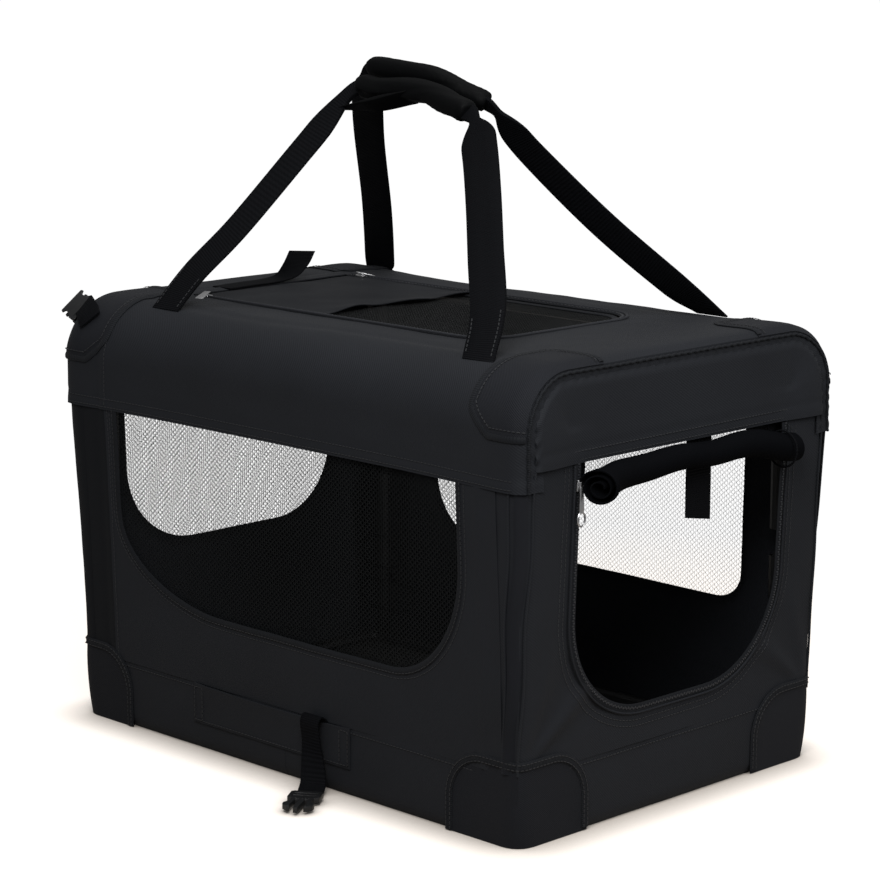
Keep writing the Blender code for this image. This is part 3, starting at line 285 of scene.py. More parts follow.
def finish_of(name):
    """Material by its name, made when it is first asked for."""
    made = bpy.data.materials.get(name)
    if made:
        return made
    c = bpy.context.scene.crate_colours

    def cloth(*look, **more):
        """Colour, roughness, threads in a metre, slant and depth of the weave."""
        return cloth_material, look, more

    def hard(*look, **more):
        """Colour, roughness, metallic, grain and depth of the surface."""
        return hard_material, look, more

    looks = {
        "cover_cloth": cloth(c.cover, 0.62, 380.0, 0.75, 0.00022),
        "patch_cloth": cloth(c.patch, 0.66, 520.0, 1.0, 0.00025),
        # painted shade: the cover darkened for the rear corners, where the light falls off
        "side_cloth": cloth(darker(c.cover, 0.55), 0.66, 380.0, 0.75, 0.00022, gloss=0.07),
        "roll_cloth": cloth(darker(c.patch, 0.26), 0.72, 520.0, 1.0, 0.00022, sheen=0.0, gloss=0.02),
        "lid_cloth": cloth(darker(c.cover, 0.80), 0.62, 520.0, 0.4, 0.00016, gloss=0.05),
        "lining_cloth": cloth(c.lining, 0.80, 380.0, 0.5, 0.00012),
        "net_thread": cloth(c.net, 0.70, 1600.0, 0.5, 0.00010),
        "lid_net_thread": cloth(c.net, 0.72, 1600.0, 0.5, 0.00010),
        "strap_webbing": cloth(c.webbing, 0.62, 900.0, 1.0, 0.00018, ribs=420.0, sheen=0.0, gloss=0.03),
        "grip_cloth": cloth(darker(c.padding, 0.45), 0.50, 1200.0, 0.3, 0.00008, sheen=0.0, gloss=0.045),
        "edge_binding": cloth(c.binding, 0.66, 700.0, 0.2, 0.00015, ribs=520.0),
        "seam_piping": cloth(c.piping, 0.55, 900.0, 0.3, 0.00010),
        "zip_tape": cloth(c.binding, 0.70, 1100.0, 0.6, 0.00010),
        "sewing_thread": hard(c.thread, 0.60, 0.0, 200.0, 0.00004),
        "zip_teeth": hard(c.piping, 0.38, 0.0, 90.0, 0.00003),
        "buckle_plastic": hard(c.plastic, 0.36, 0.0, 110.0, 0.00006),
        "painted_steel": hard(c.steel, 0.36, 0.0, 45.0, 0.00006),
        "slider_metal": hard(c.metal, 0.27, 1.0, 70.0, 0.00004, worn=0.72),
        # board covering with painted shade: darker than its own colour, as the inside of the crate is in shade
        "board_cover": hard(c.board, 0.72, 0.0, 120.0, 0.00015),
    }
    make, look, more = looks[name]
    return make(name, *look, **more)


# Modelling


def grid(across, along, place, width, height, keep=None, closed=False):
    """Cells wrapped onto a surface: place(u, v) gives a corner's point, u and v from 0 to 1."""
    bm = bmesh.new()
    bmesh.ops.create_grid(bm, x_segments=across, y_segments=along, size=0.5)
    if keep:
        middles = [(f, f.calc_center_median()) for f in bm.faces]
        gone = [f for f, m in middles if not keep(m.x + 0.5, m.y + 0.5)]
        bmesh.ops.delete(bm, geom=gone, context="FACES")
    cloth = bm.loops.layers.uv.new("cloth")
    for face in bm.faces:
        for loop in face.loops:
            loop[cloth].uv = ((loop.vert.co.x + 0.5) * width, (loop.vert.co.y + 0.5) * height)
    for vert in bm.verts:
        vert.co = place(vert.co.x + 0.5, vert.co.y + 0.5)
    if closed:
        bmesh.ops.remove_doubles(bm, verts=bm.verts, dist=0.000002)
    return bm


def cells(metres, size):
    return max(int(round(metres / size)), 1)


def piece(name, bm, finish, inside=None, thick=0.0, smooth=40):
    """Finished object from a mesh: faces outwards, cloth given its thickness inwards."""
    bmesh.ops.recalc_face_normals(bm, faces=bm.faces)
    if inside is not None:
        facing = sum(f.normal.dot(f.calc_center_median() - Vector(inside)) * f.calc_area() for f in bm.faces)
        if facing < 0:
            bmesh.ops.reverse_faces(bm, faces=bm.faces)
    elif bm.calc_volume(signed=True) < 0:
        bmesh.ops.reverse_faces(bm, faces=bm.faces)
    mesh = bpy.data.meshes.new(name)
    bm.to_mesh(mesh)
    bm.free()
    mesh.materials.append(finish_of(finish))
    mesh.materials.append(finish_of("lining_cloth"))
    obj = bpy.data.objects.new(name, mesh)
    bpy.context.scene.collection.objects.link(obj)
    if thick:
        wall = obj.modifiers.new("cloth", "SOLIDIFY")
        wall.thickness = thick
        wall.offset = -1.0
        wall.material_offset = 1
        graph = bpy.context.evaluated_depsgraph_get()
        made = bpy.data.meshes.new_from_object(obj.evaluated_get(graph))
        obj.modifiers.clear()
        obj.data = made
        mesh = made
    mesh.materials.clear()
    mesh.materials.append(finish_of(finish))
    if thick:
        mesh.materials.append(finish_of("lining_cloth"))
    mesh.shade_smooth()
    mesh.set_sharp_from_angle(angle=math.radians(smooth))
    return obj


def settle(obj):
    """Takes a piece's modifiers into its mesh."""
    before = obj.data
    graph = bpy.context.evaluated_depsgraph_get()
    mesh = bpy.data.meshes.new_from_object(obj.evaluated_get(graph))
    obj.modifiers.clear()
    obj.data = mesh
    bpy.data.meshes.remove(before)
    mesh.name = obj.name


def inflate(obj, cell, pressure, cap):
    """Blows a padded piece up as cloth with air in it; no point moves further than the cap."""
    remesh = obj.modifiers.new("even_mesh", "REMESH")
    remesh.mode = "VOXEL"
    remesh.voxel_size = cell
    remesh.use_smooth_shade = True
    settle(obj)
    start = [vert.co.copy() for vert in obj.data.vertices]
    cloth = obj.modifiers.new("air", "CLOTH")
    cloth.settings.use_pressure = True
    cloth.settings.uniform_pressure_force = pressure
    cloth.settings.effector_weights.gravity = 0.0
    cloth.point_cache.frame_start = 1
    cloth.point_cache.frame_end = AIR_FRAMES
    for moment in range(1, AIR_FRAMES + 1):
        bpy.context.scene.frame_set(moment)
    settle(obj)
    for vert, place in zip(obj.data.vertices, start):
        step = vert.co - place
        vert.co = place + step * min(1.0, cap / max(step.length, 1e-9))
    bpy.context.scene.frame_set(1)
    smooth = obj.modifiers.new("smooth", "SUBSURF")
    smooth.levels = smooth.render_levels = 1


def shade(obj, where):
    """Gives the outer faces where the test holds a darker cloth: painted shade where the light falls off at the rear
    corners.
    """
    obj.data.materials.append(finish_of("side_cloth"))
    for face in obj.data.polygons:
        if face.material_index == 0 and where(face.center):
            face.material_index = len(obj.data.materials) - 1


def softness(x, y, z, broad=9.0, fine=34.0):
    """Uneven lie of cloth, from about -1 to 1."""
    return noise.noise(Vector((x, y, z)) * broad) + 0.35 * noise.noise(Vector((x, y, z)) * fine + Vector((7, 3, 1)))


def clamp(value):
    """A value kept between 0 and 1."""
    return min(max(value, 0.0), 1.0)


def crown(u):
    """Height of a tape's middle above its edges, from 0 to 1."""
    return 1 - (2 * u - 1) ** 4


def bell(value, middle, width):
    return math.exp(-(((value - middle) / width) ** 2))


def smooth_path(points, count):
    """Evenly counted points on a smooth curve through the given ones."""
    pts = [Vector(p) for p in points]
    pts = [pts[0] * 2 - pts[1]] + pts + [pts[-1] * 2 - pts[-2]]
    spans = len(pts) - 3
    out = []
    for n in range(count + 1):
        t = spans * n / count
        k = min(int(t), spans - 1)
        t -= k
        a, b, c, d = pts[k : k + 4]
        curve = 2 * b + (c - a) * t + (2 * a - 5 * b + 4 * c - d) * t**2 + (3 * b - a - 3 * c + d) * t**3
        out.append(curve * 0.5)
    return out


def evenly(points, step):
    """Points at an even spacing along a polyline."""
    pts = [Vector(p) for p in points]
    out = [pts[0].copy()]
    left = step
    for a, b in zip(pts, pts[1:]):
        span = (b - a).length
        at = left
        while at <= span:
            out.append(a.lerp(b, at / span))
            at += step
        left = at - span
    return out


def arc(cx, cy, r, start, end, count):
    steps = [math.radians(start + (end - start) * n / count) for n in range(count + 1)]
    return [(cx + r * math.cos(a), cy + r * math.sin(a)) for a in steps]


def window_span(side):
    """Ends, foot and corner sizes (across, up) of a long side's window, as seen in the photo."""
    if side == "near":
        return -0.2330, 0.2330, 0.1345, (0.150, 0.085), (0.090, 0.110)
    return -0.2080, 0.2130, 0.1360, (0.070, 0.070), (0.030, 0.026)


def in_window(x, z, side, grow):
    x0, x1, foot, low_rear, low_door = window_span(side)
    if not (x0 - grow < x < x1 + grow and z > foot - grow):
        return False
    for end, way, (wide, tall) in ((x0, -1, low_rear), (x1, 1, low_door)):
        inner = end - way * wide
        if (x - inner) * way > 0 and z < foot + tall:
            return math.hypot((x - inner) / (wide + grow), (z - foot - tall) / (tall + grow)) < 1
    return True


def window_path(side, grow, top):
    x0, x1, foot, (rear_wide, rear_tall), (door_wide, door_tall) = window_span(side)
    path = [(x0 - grow, top)]
    corners = ((180, x0 + rear_wide, rear_wide, rear_tall), (270, x1 - door_wide, door_wide, door_tall))
    for first, middle, wide, tall in corners:
        for a in range(first, first + 91, 6):
            c, n = math.cos(math.radians(a)), math.sin(math.radians(a))
            path.append((middle + (wide + grow) * c, foot + tall + (tall + grow) * n))
    return path + [(x1 + grow, top)]


def u_path(half, bottom, r, top, count=10):
    """Outline of a U-shaped opening, from its left top down and up to its right top."""
    right = arc(half - r, bottom + r, r, -90, 0, count) + [(half, top)]
    return [(-x, z) for x, z in reversed(right)] + right


def in_u(x, z, half, bottom, r, grow):
    """Whether a point lies inside a U-shaped opening that is grown by a margin."""
    half, bottom, r = half + grow, bottom - grow, r + grow
    x = abs(x)
    if x >= half or z <= bottom:
        return False
    if z < bottom + r and x > half - r:
        return math.hypot(x - half + r, z - bottom - r) < r
    return True


def length_of(points):
    return sum((b - a).length for a, b in zip(points, points[1:]))


def tangents(points):
    last = len(points) - 1
    return [(points[min(i + 1, last)] - points[max(i - 1, 0)]).normalized() for i in range(last + 1)]


def ribbon(points, widths, halves, thicks):
    """Closed flat strap through points, crowned at its edges, with a width direction at each point."""
    ways = tangents(points)
    count = len(points) - 1
    shape = []
    for cx, cy, start in ((1, 1, 0), (-1, 1, 90), (-1, -1, 180), (1, -1, 270)):
        shape += [(cx, cy, math.radians(start + 45 * n)) for n in range(3)]
        if start in (0, 180):
            upright = math.radians(90 if cy > 0 else 270)
            shape += [(cx / 3, cy, upright), (-cx / 3, cy, upright)]
    shape.append(shape[0])
    rings = len(shape) - 1
    long = length_of(points)

    def place(u, v):
        i = round(v * count)
        sx, sy, a = shape[round(u * rings)]
        w = widths[i].normalized()
        n = ways[i].cross(w).normalized()
        r = min(thicks[i] / 2 * 0.9, 0.0009)
        across = sx * (halves[i] - r) + r * math.cos(a)
        up = sy * (thicks[i] / 2 - r) + r * math.sin(a)
        return points[i] + w * across + n * up

    bm = grid(rings, count, place, 4 * max(halves), long, closed=True)
    bmesh.ops.holes_fill(bm, edges=[e for e in bm.edges if e.is_boundary])
    return bm


def tube(points, r, sides=8, closed=False):
    """Round cord through points."""
    ways = tangents(points)
    side = ways[0].orthogonal().normalized()
    frames = []
    for p, way in zip(points, ways):
        side = (side - way * side.dot(way)).normalized()
        frames.append((p, side, way.cross(side)))
    count = len(points) - 1
    long = length_of(points)

    def place(u, v):
        p, s, t = frames[round(v * count)]
        a = 2 * math.pi * u
        return p + s * (r * math.cos(a)) + t * (r * math.sin(a))

    bm = grid(sides, count, place, 2 * math.pi * r, long, closed=True)
    if not closed:
        bmesh.ops.holes_fill(bm, edges=[e for e in bm.edges if e.is_boundary])
    return bm


def tape(points, normals, width, lift, proud, across=4):
    """Sewn tape along points on a surface: crowned, its edges sunk to the surface."""
    ways = tangents(points)
    count = len(points) - 1
    long = length_of(points)

    def place(u, v):
        i = round(v * count)
        w = normals[i].cross(ways[i]).normalized()
        return points[i] + w * (width * (u - 0.5)) + normals[i] * (lift + proud * crown(u))

    return grid(across, count, place, width, long)


def stitches(points, normals, sizes, lift=0.0002):
    """Row of short thread bars along points on a surface."""
    step = sizes.stitch + sizes.stitch_gap
    bm = bmesh.new()
    travelled = 0.0
    following = step / 2
    for i, (a, b) in enumerate(zip(points, points[1:])):
        span = (b - a).length
        while span and following <= travelled + span:
            p = a.lerp(b, (following - travelled) / span)
            way = (b - a).normalized()
            up = normals[i].normalized()
            side = up.cross(way).normalized()
            turn = Matrix((way, side, way.cross(side))).transposed().to_4x4()
            scale = Matrix.Diagonal((sizes.stitch, sizes.thread, sizes.thread, 1.0))
            bmesh.ops.create_cube(bm, size=1.0, matrix=Matrix.Translation(p + up * lift) @ turn @ scale)
            following += step
        travelled += span
    return bm


def merge(parts):
    """Joins meshes into one without touching their points."""
    bm = bmesh.new()
    bm.loops.layers.uv.new("cloth")
    for part in parts:
        mesh = bpy.data.meshes.new("part")
        part.to_mesh(mesh)
        part.free()
        bm.from_mesh(mesh)
        bpy.data.meshes.remove(mesh)
    return bm


def slab(outline, thick, bevel=0.0, segments=2, holes=()):
    """Flat solid from an outline in x and y, with its openings and rounded edges."""
    bm = bmesh.new()
    edges = []
    for loop in (outline, *holes):
        verts = [bm.verts.new((x, y, 0.0)) for x, y in loop]
        edges += [bm.edges.new((verts[i - 1], verts[i])) for i in range(len(verts))]
    bmesh.ops.triangle_fill(bm, use_beauty=True, use_dissolve=True, edges=edges, normal=(0, 0, 1))
    made = bmesh.ops.extrude_face_region(bm, geom=bm.faces[:])
    moved = [g for g in made["geom"] if isinstance(g, bmesh.types.BMVert)]
    bmesh.ops.translate(bm, vec=(0, 0, thick), verts=moved)
    bmesh.ops.recalc_face_normals(bm, faces=bm.faces)
    if bevel:
        sharp = [e for e in bm.edges if len(e.link_faces) == 2 and e.calc_face_angle(0.0) > 0.6]
        style = {"profile": 0.5, "affect": "EDGES", "material": -1, "clamp_overlap": True}
        bmesh.ops.bevel(bm, geom=sharp, offset=bevel, segments=segments, **style)
    return bm


def block(low, high, bevel=0.0004, segments=2):
    """Rounded block between two corners."""
    (x0, y0, z0), (x1, y1, z1) = low, high
    bm = slab([(x0, y0), (x1, y0), (x1, y1), (x0, y1)], z1 - z0, bevel, segments)
    bmesh.ops.translate(bm, vec=(0, 0, z0), verts=bm.verts)
    return bm


# Placing the cloth: wall pieces keep their place, end pieces go with the base


def follow_wall(obj, low):
    if low:
        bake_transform(obj)
    else:
        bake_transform(obj)


def follow_end(obj):
    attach(obj, "base")
    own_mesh(obj)


# Surfaces of the cover


ARCH_SIDE = ROOF_Z - CAP_ROUND - SIDE_HEM
ARCH_BEND = CAP_ROUND * math.pi / 2
ARCH_FLAT = 2 * (CAP_Y - CAP_ROUND)
ARCH_LONG = 2 * (ARCH_SIDE + ARCH_BEND) + ARCH_FLAT
CAP_STRAIGHT = CAP_X - CAP_EDGE
CAP_REACH = CAP_STRAIGHT + CAP_EDGE * math.pi / 2
CAP_FULL = 0.0072


def arch_point(s, inset):
    """Point and outward direction on the roof cover's section, s metres from the near hem."""
    cy, cz, r = CAP_Y - CAP_ROUND, ROOF_Z - CAP_ROUND, CAP_ROUND - inset
    way = 1.0
    if s > ARCH_LONG / 2:
        s = ARCH_LONG - s
        way = -1.0
    if s < ARCH_SIDE:
        return -way * (CAP_Y - inset), SIDE_HEM + s, -way, 0.0
    s -= ARCH_SIDE
    if s < ARCH_BEND:
        a = s / CAP_ROUND
        return -way * (cy + r * math.cos(a)), cz + r * math.sin(a), -way * math.cos(a), math.sin(a)
    return -way * (cy - (s - ARCH_BEND)), ROOF_Z - inset, 0.0, 1.0


def cap_point(t, s, out=0.0):
    """Point and normal of the roof cover: t runs along the crate and round its ends, s across it."""
    way = -1.0 if t < 0 else 1.0
    a = min(max(abs(t) - CAP_STRAIGHT, 0.0) / CAP_EDGE, math.pi / 2)
    crisp = (math.sin(a) ** 5 + math.cos(a) ** 5) ** -0.2
    y, z, ny, nz = arch_point(s, CAP_EDGE * (1 - crisp * math.cos(a)))
    normal = Vector((way * math.sin(a), ny * math.cos(a), nz * math.cos(a)))
    x = way * (min(abs(t), CAP_STRAIGHT) + CAP_EDGE * crisp * math.sin(a))
    full = CAP_FULL * bell(abs(t), CAP_REACH, 0.10) * (0.35 + 0.65 * min(ny * ny, 1.0))
    return Vector((x, y, z)) + normal * (out + full), normal


def cap_relief(t, s, pucker):
    """How far the roof cover stands off its even shape."""
    edge = min(s, ARCH_LONG - s)
    out = pucker * softness(t, s, 0.3)
    out += 0.0006 * bell(edge, 0.0, 0.011) - 0.0006 * bell(edge, 0.0125, 0.003)
    out += 0.0009 * bell(t, REAR_RIDGE, 0.004) - 0.0010 * bell(t, -0.258, 0.004)
    gutter = bell(abs(t), CAP_STRAIGHT + 0.0255, 0.0040)
    out -= gutter * (0.0020 + 0.0011 * math.sin(2 * math.pi * s / 0.0125 + 2.5 * noise.noise(Vector((s * 30, t, 0)))))
    crease = bell(edge, ARCH_SIDE + ARCH_BEND * 0.96 + 0.006 * math.sin(t * 14), 0.007)
    out -= 0.0014 * crease * (1 if abs(t) < 0.25 else 0)
    return out


def in_lid(x, y, grow):
    x0, x1, half, r = LID_X0 - grow, LID_X1 + grow, LID_HALF + grow, LID_R + grow
    y = abs(y)
    if not (x0 < x < x1 and y < half):
        return False
    if x > x1 - r and y > half - r:
        return math.hypot(x - x1 + r, y - half + r) < r
    return True


def lid_path(grow, z):
    """Line round the lid's three free sides, from the near hinge corner to the far one."""
    x1, half, r = LID_X1 + grow, LID_HALF + grow, LID_R + grow
    points = [(LID_X0, -half), *arc(x1 - r, -half + r, r, -90, 0, 10)]
    points += [*arc(x1 - r, half - r, r, 0, 90, 10), (LID_X0, half)]
    return [Vector((x, y, z)) for x, y in points]


def lean_out(z):
    """How far the walls lean out at a height: the roof's frame holds them wider than the base."""
    return LEAN_MOST * clamp((z - LEAN_FROM) / LEAN_RISE) ** 1.15


def corner_gap(p):
    """Distance of a point on the outline from the nearest upright corner."""
    beside_end = abs(abs(p[0]) - HX) + max(HY - CORNER_R - abs(p[1]), 0.0)
    beside_side = abs(abs(p[1]) - HY) + max(HX - CORNER_R - abs(p[0]), 0.0)
    return min(beside_end, beside_side)


def lean_near(z, gap):
    """Lean of a wall at a height, full beside an upright corner and less with the gap to it."""
    return lean_out(z) * (0.30 + 0.70 * bell(gap, 0.0, 0.07))


def side_lean(x, z):
    return lean_near(z, max(HX - CORNER_R - abs(x), 0.0))


def end_lean(y, z):
    return lean_near(z, max(HY - CORNER_R - abs(y), 0.0))


def end_on(p, lift):
    """Point on the door end's leaning cover, lifted off it."""
    return Vector((HX + end_lean(p.y, p.z) + lift, p.y, p.z))


def base_point(s, z, out):
    """Point and normal on the crate's upright outline; s runs round it from the middle of the near side."""
    flat_x, flat_y, bend = HX - CORNER_R, HY - CORNER_R, CORNER_R * math.pi / 2
    total = 4 * (flat_x + flat_y + bend)
    s %= total
    for turn in range(4):
        first, second = (flat_x, flat_y) if turn % 2 == 0 else (flat_y, flat_x)
        length = first + bend + second
        if s <= length or turn == 3:
            break
        s -= length
    # a quarter of the outline in its own axes: x along the first side, y outwards
    if s <= first:
        x, y, nx, ny = s, second + CORNER_R, 0.0, 1.0
    elif s <= first + bend:
        a = (s - first) / CORNER_R
        nx, ny = math.sin(a), math.cos(a)
        x, y = first + CORNER_R * nx, second + CORNER_R * ny
    else:
        x, y, nx, ny = first + CORNER_R, second - (s - first - bend), 1.0, 0.0
    place = Vector((x, -y)), Vector((nx, -ny))
    for _ in range(turn):
        place = tuple(Vector((-v.y, v.x)) for v in place)
    normal = Vector((place[1].x, place[1].y, 0.0))
    bend = min(abs(nx), abs(ny))
    sharp = 2.3 + 3.7 * clamp(z / 0.06)
    crisp = (abs(nx) ** sharp + abs(ny) ** sharp) ** (-1 / sharp) - 1.0 if bend > 0 else 0.0
    lean = lean_near(z, corner_gap(place[0]))
    return Vector((place[0].x, place[0].y, z)) + normal * (out + CORNER_R * crisp + lean), normal


OUTLINE = 4 * (HX + HY - 2 * CORNER_R + CORNER_R * math.pi / 2)
CORNER_S = HX - CORNER_R + CORNER_R * math.pi / 4


def patch_height(edge):
    drop = max(PATCH_BEND - edge, 0.0)
    return PATCH_HEIGHT - PATCH_BEND + math.sqrt(max(PATCH_BEND**2 - drop**2, 0.0))


class CrateOperator:
    bl_options = {"REGISTER", "UNDO"}

    @property
    def sizes(self):
        return bpy.context.scene.crate_sizes


class CRATE_OT_long_walls(CrateOperator, bpy.types.Operator):
    """Fabric of both long sides, in a low strip and an upper panel with its window"""

    bl_idname = "crate.long_walls"
    bl_label = "Long Walls"

    def execute(self, context):
        for side, way in SIDES:
            self.panel(side, way, 0.0655, STRIP_TOP, True)
            self.panel(side, way, STRIP_TOP, WALL_TOP, False)
            self.window_edge(side, way)
            self.corner_strips(side, way)
        return {"FINISHED"}

    def out(self, x, z, side):
        pucker = self.sizes.pucker
        near = 0.0 if side == "near" else 4.0
        out = 0.0012 + pucker * 1.1 * softness(x, z, near)
        out += 0.0011 * bell(x, REAR_RIDGE, 0.0035) - 0.0006 * bell(x, -0.2590, 0.0040)
        out += 0.0012 * bell(x, 0.2600, 0.0030)
        out += 0.0009 * math.sin(math.pi * clamp((z - 0.07) / 0.06)) * bell(x, 0.0, 0.2)
        behind_hem = clamp((z - SIDE_HEM - 0.002) / 0.012)
        return max(out, 0.0002) + side_lean(x, z) - HEM_TUCK * behind_hem

    def panel(self, side, way, low, high, strip):
        cell = self.sizes.cell

        def place(u, v):
            x = WALL_HALF * (2 * u - 1)
            z = low + (high - low) * v
            return Vector((x, way * (HY + self.out(x, z, side)), z))

        def keep(u, v):
            x, z = WALL_HALF * (2 * u - 1), low + (high - low) * v
            return z > SIDE_HEM + 0.004 or not in_window(x, z, side, 0.0034)

        across, along = cells(2 * WALL_HALF, cell), cells(high - low, cell)
        bm = grid(across, along, place, 2 * WALL_HALF, high - low, keep)
        name = f"{side}_wall_{'strip' if strip else 'panel'}"
        obj = piece(name, bm, "cover_cloth", MIDDLE, self.sizes.cloth)
        # painted shade on the wall towards the rear end
        shade(obj, lambda at: at.x < DARK_X)
        follow_wall(obj, strip)
        if not strip:
            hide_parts(f"{side}_wall_lower", f"{side}_wall_upper")

    def window_edge(self, side, way):
        """Binding round the window and the two rows of stitches through and beside it."""
        sizes = self.sizes
        grow = sizes.binding / 2 - 0.0008

        def beside(grow, over, step, lift=0.0):
            points = evenly([(x, 0.0, z) for x, z in window_path(side, grow, SIDE_HEM + over)], step)
            for p in points:
                p.y = way * (HY + self.out(p.x, p.z, side) + lift)
            return points, [Vector((0, way, 0))] * len(points)

        bm = tape(*beside(grow, 0.004, 0.004), sizes.binding, 0.0003, 0.0010)
        obj = piece(f"{side}_window_binding", bm, "edge_binding", MIDDLE, 0.0012)
        follow_wall(obj, False)
        rows = []
        for more, lift in ((0.0020, 0.0011), (0.0068, 0.0)):
            rows.append(stitches(*beside(grow + more, 0.002, 0.003, lift), sizes))
        obj = piece(f"{side}_window_stitching", merge(rows), "sewing_thread")
        follow_wall(obj, False)

    def corner_strips(self, side, way):
        """Seam beside the rear end, in a low and a high part like the wall."""
        for strip, low, high in ((True, 0.0665, STRIP_TOP), (False, STRIP_TOP, 0.330)):
            tag = "low" if strip else "high"
            zs = [low + (high - low) * n / 40 for n in range(41)]
            line = [Vector((SEAM_X, way * (HY + self.out(SEAM_X, z, side)), z)) for z in zs]
            bm = stitches(line, [Vector((0, way, 0))] * 41, self.sizes)
            obj = piece(f"{side}_rear_seam_{tag}", bm, "sewing_thread")
            follow_wall(obj, strip)


class CRATE_OT_nets(CrateOperator, bpy.types.Operator):
    """Nets of both long sides, the rear end and the lid, with a hole for every mesh"""

    bl_idname = "crate.nets"
    bl_label = "Nets"

    def execute(self, context):
        for side, way in SIDES:
            y = way * (HY - 0.0012)

            def inside(x, z, side=side):
                return z < SIDE_HEM + 0.005 and in_window(x, z, side, 0.0075)

            def place(x, z, y=y, side=side, way=way):
                sag = 0.0016 * noise.noise(Vector((x * 7, z * 9, 2.0 if side == "near" else 5.0)))
                return Vector((x, y + sag + way * side_lean(x, z), z))

            low, high = WINDOW_BOTTOM - 0.008, SIDE_HEM + 0.006
            half, thread = WINDOW_HALF + 0.008, 1.0 if way < 0 else 0.5
            bm = self.mesh(-half, half, low, high, inside, place, 1.0, thread)
            obj = piece(f"{side}_net", bm, "net_thread", MIDDLE)
            follow_wall(obj, False)
            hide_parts(f"{side}_net_lower", f"{side}_net_upper")

        def in_rear(y, z):
            return z < DOOR_TOP + 0.003 and in_u(y, z, REAR_HALF, REAR_BOTTOM, REAR_R, 0.007)

        def on_rear(y, z):
            sag = 0.001 * noise.noise(Vector((y * 8, z * 8, 8.0)))
            return Vector((-HX + 0.0014 - end_lean(y, z) + sag, y, z))

        half = REAR_HALF + 0.008
        bm = self.mesh(-half, half, REAR_BOTTOM - 0.008, DOOR_TOP + 0.005, in_rear, on_rear, 1.0, 0.6)
        obj = piece("rear_window_net", bm, "net_thread", MIDDLE)
        follow_end(obj)
        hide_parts("rear_net")

        def on_door(y, z):
            sag = 0.0008 * noise.noise(Vector((y * 12, z * 20, 6.0)))
            return Vector((ROLL_X - ROLL_R + 0.0012 + sag, y, z))

        def by_roll(y, z):
            return ROLL_Y0 + 0.006 < y < ROLL_Y1 - 0.012 and ROLL_Z + 0.001 < z < END_HEM - 0.0006

        bm = self.mesh(ROLL_Y0, ROLL_Y1, ROLL_Z, END_HEM + 0.002, by_roll, on_door, 0.8, 0.6)
        obj = piece("door_upper_net", bm, "net_thread", MIDDLE)
        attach(obj, "top")

        def in_lid_net(x, y):
            return x > LID_NET_X0 - 0.008 and in_lid(x, y, -0.003)

        def on_lid(x, y):
            return Vector((x, y, ROOF_Z - 0.0022 + 0.0012 * noise.noise(Vector((x * 9, y * 9, 3.0)))))

        bm = self.mesh(LID_NET_X0 - 0.01, LID_X1, -LID_HALF, LID_HALF, in_lid_net, on_lid, 0.62, 0.85)
        obj = piece("roof_lid_net", bm, "lid_net_thread", MIDDLE)
        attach(obj, "lid")
        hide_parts("lid_net")
        return {"FINISHED"}

    def mesh(self, u0, u1, v0, v1, inside, place, scale, thread):
        """Six-sided meshes side by side, each left open inside its threads."""
        sizes = self.sizes
        a, h = sizes.hole_across * scale, sizes.hole_along * scale / 2
        strand = sizes.strand * thread
        top = 0.22 * a / 2
        bm = bmesh.new()
        made = bmesh.ops.create_circle(bm, cap_ends=True, segments=6, radius=1.0)
        for vert in made["verts"]:
            high = abs(vert.co.y) > 0.5
            flat = abs(vert.co.x) < 0.75 and high
            if flat:
                vert.co = (math.copysign(top, vert.co.x), math.copysign(h, vert.co.y), 0.0)
            else:
                vert.co = (math.copysign(a / 2 - top, vert.co.x), 0.0, 0.0)
        rows = int((v1 - v0) / (2 * h)) + 2
        columns = int((u1 - u0) / a) + 2
        self.copies(bm, (0.5 * a, h, 0.0), 2)
        self.copies(bm, (a, 0.0, 0.0), columns)
        self.copies(bm, (0.0, 2 * h, 0.0), rows)
        bmesh.ops.translate(bm, vec=(u0, v0, 0.0), verts=bm.verts)
        bmesh.ops.remove_doubles(bm, verts=bm.verts, dist=a * 0.02)
        gone = [f for f in bm.faces if not inside(f.calc_center_median().x, f.calc_center_median().y)]
        bmesh.ops.delete(bm, geom=gone, context="FACES")
        cells_left = bm.faces[:]
        bmesh.ops.inset_individual(bm, faces=cells_left, thickness=strand / 2, use_even_offset=True)
        bmesh.ops.delete(bm, geom=cells_left, context="FACES_ONLY")
        cloth = bm.loops.layers.uv.new("cloth")
        for face in bm.faces:
            for loop in face.loops:
                loop[cloth].uv = (loop.vert.co.x, loop.vert.co.y)
        for vert in bm.verts:
            vert.co = place(vert.co.x, vert.co.y)
        return bm

    def copies(self, bm, step, count):
        """Repeats the mesh along a step, doubling what is there each time."""
        done = 1
        first = bm.verts[:] + bm.edges[:] + bm.faces[:]
        while done < count:
            source = (bm.verts[:] + bm.edges[:] + bm.faces[:]) if done * 2 <= count else first
            times = done if done * 2 <= count else 1
            made = bmesh.ops.duplicate(bm, geom=source)["geom"]
            verts = [g for g in made if isinstance(g, bmesh.types.BMVert)]
            bmesh.ops.translate(bm, vec=Vector(step) * done, verts=verts)
            done += times


